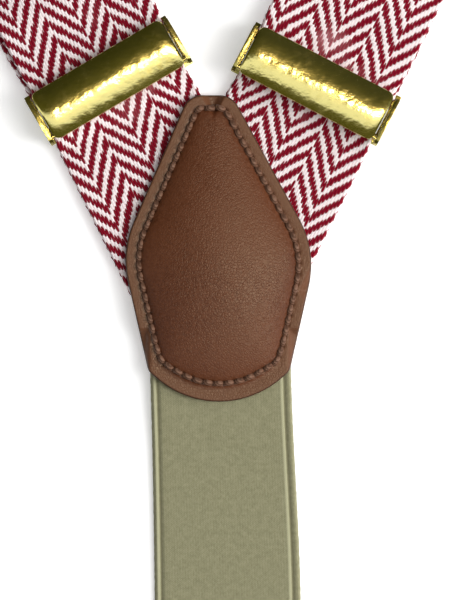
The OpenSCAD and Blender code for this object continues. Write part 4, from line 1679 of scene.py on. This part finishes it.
    def one_tooth(self, at: float) -> tuple:
        """A tooth under the knuckle, tapering to its tip."""
        half, thin = 0.5 * self.tooth, 0.4 * MM
        levels = [(-0.7 * MM, 1.0, 1.0), (-1.3 * MM, 0.9, 0.85), (-self.tooth_reach, 0.35, 0.3)]
        corners = [(-1, -1), (1, -1), (1, 1), (-1, 1)]
        points = []
        for z, wide, deep in levels:
            for a, b in corners:
                points.append((at + a * half * wide, -self.pin_offset + b * thin * deep, self.pin_z + z))
        faces = grid_faces(len(levels), 4)
        faces += [[3, 2, 1, 0], [8, 9, 10, 11]]
        return np.array(points), faces

    def build(self) -> None:
        """Makes the frame, the pin and the lever."""
        self.frame_plate()
        self.pin()
        self.lever()
        log.info("%s adjuster: frame, pin and lever", self.side)


@dataclass
class Ring:
    """A rectangular wire ring."""

    where: str

    def build(self) -> None:
        """Dresses the CAD ring, whose bent wire is already exact."""
        node = frame["nodes"][f"{self.where}_ring"]
        node.data.shade_smooth()
        BRASS.dress(node)
        log.info("%s ring: brass wire", self.where)


# ---------------------------------------------------------------- elastic


@dataclass
class BackStrap:
    """The elastic back strap, with its end folded round the back ring."""

    width: float = 33.5 * MM
    thick: float = 1.2 * MM
    top: float = -6.5 * MM
    web_z: float = 1.5 * MM
    loop_run: float = 14.0 * MM
    fold: float = 28.0 * MM
    loop_radius: float = 1.6 * MM
    lean: float = 2.1 * MM
    lean_at: float = 78.0 * MM
    lean_run: float = 84.0 * MM
    narrowed: float = 0.965

    def __post_init__(self) -> None:
        """Reads the ring from the frame."""
        ring = joint("back_ring_swivel")["pos_m"]
        self.ring_at = -ring[1]
        self.bar_z = ring[2]
        self.mid = 0.5 * self.thick
        self.down = Place((0.0, 0.0, 0.0), (-1.0, 0.0, 0.0), (0.0, -1.0, 0.0))
        self.band = Band(self.width, self.thick, yarn=0.62 * MM, ridge=0.012 * MM, row=0.9 * MM,
                         loop_edge=0.06 * MM, zigzag=False, groove_in=1.5 * MM, groove_deep=0.22 * MM)

    def sideways(self, along: np.ndarray) -> np.ndarray:
        """A slight lie to one side between the yoke and the ring."""
        share = np.clip(np.abs(along - self.lean_at) / self.lean_run, 0.0, 1.0)
        return -self.lean * (1.0 - smooth_step(share))

    def held_in(self, along: np.ndarray) -> np.ndarray:
        """Share of the full width: the seam holds the elastic a little narrower at the yoke."""
        return self.narrowed + (1.0 - self.narrowed) * smooth_step((along - 20.0 * MM) / (50.0 * MM))

    def build(self) -> None:
        """Makes the long run, the folded end and its tack."""
        low = self.mid + 0.05 * MM
        path = softened([(-self.top, self.web_z + self.mid), (22.0 * MM, self.web_z + self.mid),
                         (38.0 * MM, low), (self.ring_at - 45.0 * MM, low),
                         (self.ring_at - 34.0 * MM, self.web_z + self.mid),
                         (self.ring_at - self.loop_run, self.web_z + self.mid)])
        along = (-self.top, self.ring_at - self.loop_run)
        run = self.band.build("elastic_run", self.down, path, along, self.sideways, self.held_in)
        OLIVE_ELASTIC.dress(run)
        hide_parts("back_elastic")
        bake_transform(run)

        radius = self.loop_radius + self.mid
        loop = ring_loop(self.loop_run, self.web_z + self.mid, self.bar_z, radius, self.fold)
        loop = loop + np.array([self.ring_at, 0.0])
        start = self.ring_at - self.loop_run
        length = float(arc_lengths(loop)[-1])
        fold = self.band.build("elastic_fold", self.down, loop, (start, start + length))
        OLIVE_ELASTIC.dress(fold)
        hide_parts("back_elastic_end_loop")
        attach(fold, "back_strap_end")

        middle = (self.ring_at - 20.0 * MM, self.web_z + self.thick + 0.03 * MM)
        tack = bar_tack("elastic_tack", self.down, 0.44 * self.width, middle, OLIVE_THREAD)
        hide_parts("back_elastic_bar_tack")
        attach(tack, "back_strap_end")
        log.info("back strap: elastic run, fold and tack")


# ---------------------------------------------------------------- tabs


@dataclass
class ButtonTab:
    """A two-legged leather tab with a buttonhole in each leg."""

    where: str
    width: float = 30.0 * MM
    length: float = 62.0 * MM
    leg_w: float = 13.5 * MM
    leg_root: float = 10.0 * MM
    splay: float = math.radians(7.0)
    layer: float = 1.2 * MM
    seam_inset: float = 1.8 * MM
    pitch: float = 2.3 * MM
    voxel: float = 0.36 * MM
    dent_deep: float = 0.25 * MM
    dent_reach: float = 0.5 * MM

    def __post_init__(self) -> None:
        """Reads the tab's frame from its hinge."""
        self.place = place_from_hinge(f"{self.where}_tab_swivel")
        self.leg_l = (self.length - self.leg_root - 0.5 * self.leg_w) / math.cos(self.splay)

    def leg_path(self, way: int) -> np.ndarray:
        """The seam round one leg.

        Args:
            way: -1 for the left leg and 1 for the right.

        Returns:
            Rows of (across, along).
        """
        half = 0.5 * self.leg_w - self.seam_inset
        turns = np.radians(np.linspace(180.0, 0.0, 25))
        end = np.column_stack([half * np.cos(turns), self.leg_l + half * np.sin(turns)])
        path = np.vstack([[(-half, 6.0 * MM)], end, [(half, 6.0 * MM)]])
        angle = -way * self.splay
        turn = np.array([[math.cos(angle), math.sin(angle)], [-math.sin(angle), math.cos(angle)]])
        return path @ turn + np.array([way * 0.5 * (self.width - self.leg_w), self.leg_root])

    def softened_leather(self, node: str, name: str, finish: Finish, rounds: int) -> Piece:
        """A leather layer from its CAD solid, with its edges worn round.

        Args:
            node: The CAD node.
            name: The new piece's name.
            finish: Its leather.
            rounds: How often the surface is smoothed.

        Returns:
            The dressed piece, riding on its tab.
        """
        piece = cad_copy(node, name)
        even = piece.modifiers.new("even", "REMESH")
        even.mode = "VOXEL"
        even.voxel_size = self.voxel
        worn = piece.modifiers.new("worn", "SMOOTH")
        worn.factor = 0.5
        worn.iterations = rounds
        baked(piece)
        piece.data.shade_smooth()
        finish.dress(piece)
        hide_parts(node)
        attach(piece, f"{self.where}_tab")
        return piece

    def dent(self, piece: Piece, holes: np.ndarray) -> None:
        """Presses the needle holes into the upper face."""
        count = len(piece.data.vertices)
        points = np.empty(count * 3)
        piece.data.vertices.foreach_get("co", points)
        points = points.reshape(-1, 3)
        top = points[:, 2] > 1.6 * self.layer
        reach = np.full(count, 1.0)
        reach[top] = nearest(points[top, :2], holes[:, :2])
        points[:, 2] -= self.dent_deep * np.exp(-((reach / self.dent_reach) ** 2))
        piece.data.vertices.foreach_set("co", points.ravel())
        piece.data.update()

    def build(self) -> None:
        """Makes the front leather, the lining and the seams."""
        front = self.softened_leather(f"{self.where}_tab_leather", f"{self.where}_tab_front", TAB_HIDE, 6)
        self.softened_leather(f"{self.where}_tab_lining", f"{self.where}_tab_back", LINING, 4)
        seams, holes = [], []
        for way in (-1, 1):
            flat = resampled(self.leg_path(way), 0.3 * MM)
            height = np.full(len(flat), 2.0 * self.layer + 0.02 * MM)
            path = self.place.points(np.column_stack([flat, height]))
            count = int(round(arc_lengths(path)[-1] / self.pitch))
            holes.append(between(path, count))
            stitcher = Stitcher(length=1.75 * MM, thread=0.28 * MM, rise=0.36 * MM)
            seams.append(stitcher.sew(f"{self.where}_tab_seam_{way + 2}", path, count + 1, HIDE_THREAD))
        self.dent(front, np.vstack(holes))
        for seam in seams:
            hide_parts(f"{self.where}_tab_stitching")
            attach(seam, f"{self.where}_tab")
        log.info("%s tab: two leathers and two seams", self.where)


# ---------------------------------------------------------------- studio


@dataclass
class Studio:
    """Camera, floor and lights."""

    view_h: float = 139.1 * MM
    centre: tuple = (1.4 * MM, 0.5 * MM)
    lens: float = 180.0
    sensor: float = 24.0
    subject_z: float = 3.0 * MM
    table_half: float = 3.0
    table_tone: tuple = (0.92, 0.92, 0.92, 1.0)
    backdrop_tone: tuple = (0.93, 0.93, 0.93, 1.0)
    full: tuple = (1.0, 0.99, 0.97)
    warm: tuple = (1.0, 0.76, 0.50)
    dim: tuple = (0.16, 0.165, 0.17)
    sky_strength: float = 0.97
    mirror_dark: tuple = (0.030, 0.030, 0.006)
    mirror_dim: tuple = (0.075, 0.07, 0.010)
    mirror_strength: float = 0.98
    panel_from: tuple = (0.03, 0.16)
    panel_to: tuple = (0.48, 0.64, 1.0, 0.0)

    def camera(self) -> None:
        """A long lens straight above the yoke, with the front ends towards the top of the picture."""
        data = bpy.data.cameras.new("camera")
        data.sensor_fit = "VERTICAL"
        data.sensor_height = self.sensor
        data.lens = self.lens
        data.clip_start = 0.01
        data.clip_end = 50.0
        camera = bpy.data.objects.new("camera", data)
        height = self.view_h * self.lens / self.sensor
        camera.location = (*self.centre, self.subject_z + height)
        bpy.context.scene.collection.objects.link(camera)
        bpy.context.scene.camera = camera

    def floor(self) -> None:
        """A wide pale table top."""
        half = self.table_half
        corners = np.array([(-half, -half), (half, -half), (half, half), (-half, half)])
        points = np.column_stack([corners, np.full(4, -0.05 * MM)])
        piece = new_piece("table_top", points, [[0, 1, 2, 3]])
        made = bpy.data.materials.new("table_paper")
        made.use_nodes = True
        skin = made.node_tree.nodes["Principled BSDF"]
        skin.inputs["Base Color"].default_value = self.table_tone
        skin.inputs["Roughness"].default_value = 0.9
        skin.inputs["Emission Color"].default_value = (1.0, 1.0, 1.0, 1.0)
        skin.inputs["Emission Strength"].default_value = 0.35
        piece.data.materials.append(made)

    def sky(self) -> None:
        """Soft light from the east, and a southern panel for metal to mirror; the camera sees plain pale."""
        world = bpy.data.worlds.new("studio")
        bpy.context.scene.world = world
        world.use_nodes = True
        graph = Graph(world.node_tree)
        world.node_tree.nodes.clear()
        way = graph.node("ShaderNodeTexCoord").outputs["Generated"]
        x, y, z = graph.parts(way)
        lit = graph.node("ShaderNodeBackground")
        graph.feed(lit.inputs["Color"], graph.blend(graph.ease(x, -0.15, 0.12), self.dim, self.full))
        lit.inputs["Strength"].default_value = self.sky_strength
        steep = graph.math("DIVIDE", graph.math("MULTIPLY", y, -1.0), graph.math("MAXIMUM", z, 0.02))
        panel = graph.math("MULTIPLY", graph.ease(steep, *self.panel_from), graph.ease(steep, *self.panel_to))
        shine = graph.node("ShaderNodeBackground")
        north = graph.blend(graph.ease(y, 0.0, 0.7), self.mirror_dim, self.mirror_dark)
        graph.feed(shine.inputs["Color"], graph.blend(panel, north, self.full))
        shine.inputs["Strength"].default_value = self.mirror_strength
        paths = graph.node("ShaderNodeLightPath").outputs
        around = graph.node("ShaderNodeMixShader")
        graph.feed(around.inputs[0], paths["Is Glossy Ray"])
        graph.feed(around.inputs[1], lit.outputs[0])
        graph.feed(around.inputs[2], shine.outputs[0])
        seen = graph.node("ShaderNodeBackground")
        seen.inputs["Color"].default_value = self.backdrop_tone
        seen.inputs["Strength"].default_value = 1.0
        pick = graph.node("ShaderNodeMixShader")
        graph.feed(pick.inputs[0], paths["Is Camera Ray"])
        graph.feed(pick.inputs[1], around.outputs[0])
        graph.feed(pick.inputs[2], seen.outputs[0])
        graph.feed(graph.node("ShaderNodeOutputWorld").inputs[0], pick.outputs[0])

    def lamp(self, name: str, at: tuple, size: tuple, power: float, mirrored: bool = True,
             lights: bool = True, tone: tuple = (1.0, 1.0, 1.0)) -> None:
        """A soft panel that faces the yoke, and that polished metal may or may not mirror."""
        data = bpy.data.lights.new(name, "AREA")
        data.shape = "RECTANGLE"
        data.size, data.size_y = size
        data.energy = power
        data.color = tone
        lamp = bpy.data.objects.new(name, data)
        lamp.location = at
        lamp.visible_glossy = mirrored
        lamp.visible_diffuse = lights
        lamp.rotation_euler = Vector(at).to_track_quat("Z", "Y").to_euler()
        bpy.context.scene.collection.objects.link(lamp)

    def build(self) -> None:
        """Sets the table, the sky and the panels."""
        self.floor()
        self.sky()
        self.lamp("right_panel", (1.3, 0.0, 0.75), (0.5, 1.2), 14.0, mirrored=False)
        self.lamp("high_panel", (0.42, 0.0, 1.3), (0.15, 0.8), 9.0, lights=False, tone=self.warm)
        self.lamp("east_panel", (1.35, -0.3, 1.2), (0.6, 1.6), 14.0, mirrored=False)
        view = bpy.context.scene.view_settings
        view.view_transform = "Standard"
        view.look = "None"
        log.info("studio: table, sky and three panels")


def main() -> None:
    """Builds the suspenders from the camera to the last tab."""
    logging.basicConfig(level=logging.INFO, format="%(name)s: %(message)s")
    studio = Studio()
    studio.camera()
    Yoke().build()
    for side in STRAP_SIDES:
        Strap(side).build()
        Adjuster(side).build()
    BackStrap().build()
    for where in RING_PLACES:
        Ring(where).build()
        ButtonTab(where).build()
    studio.build()


if __name__ == "__main__":
    main()
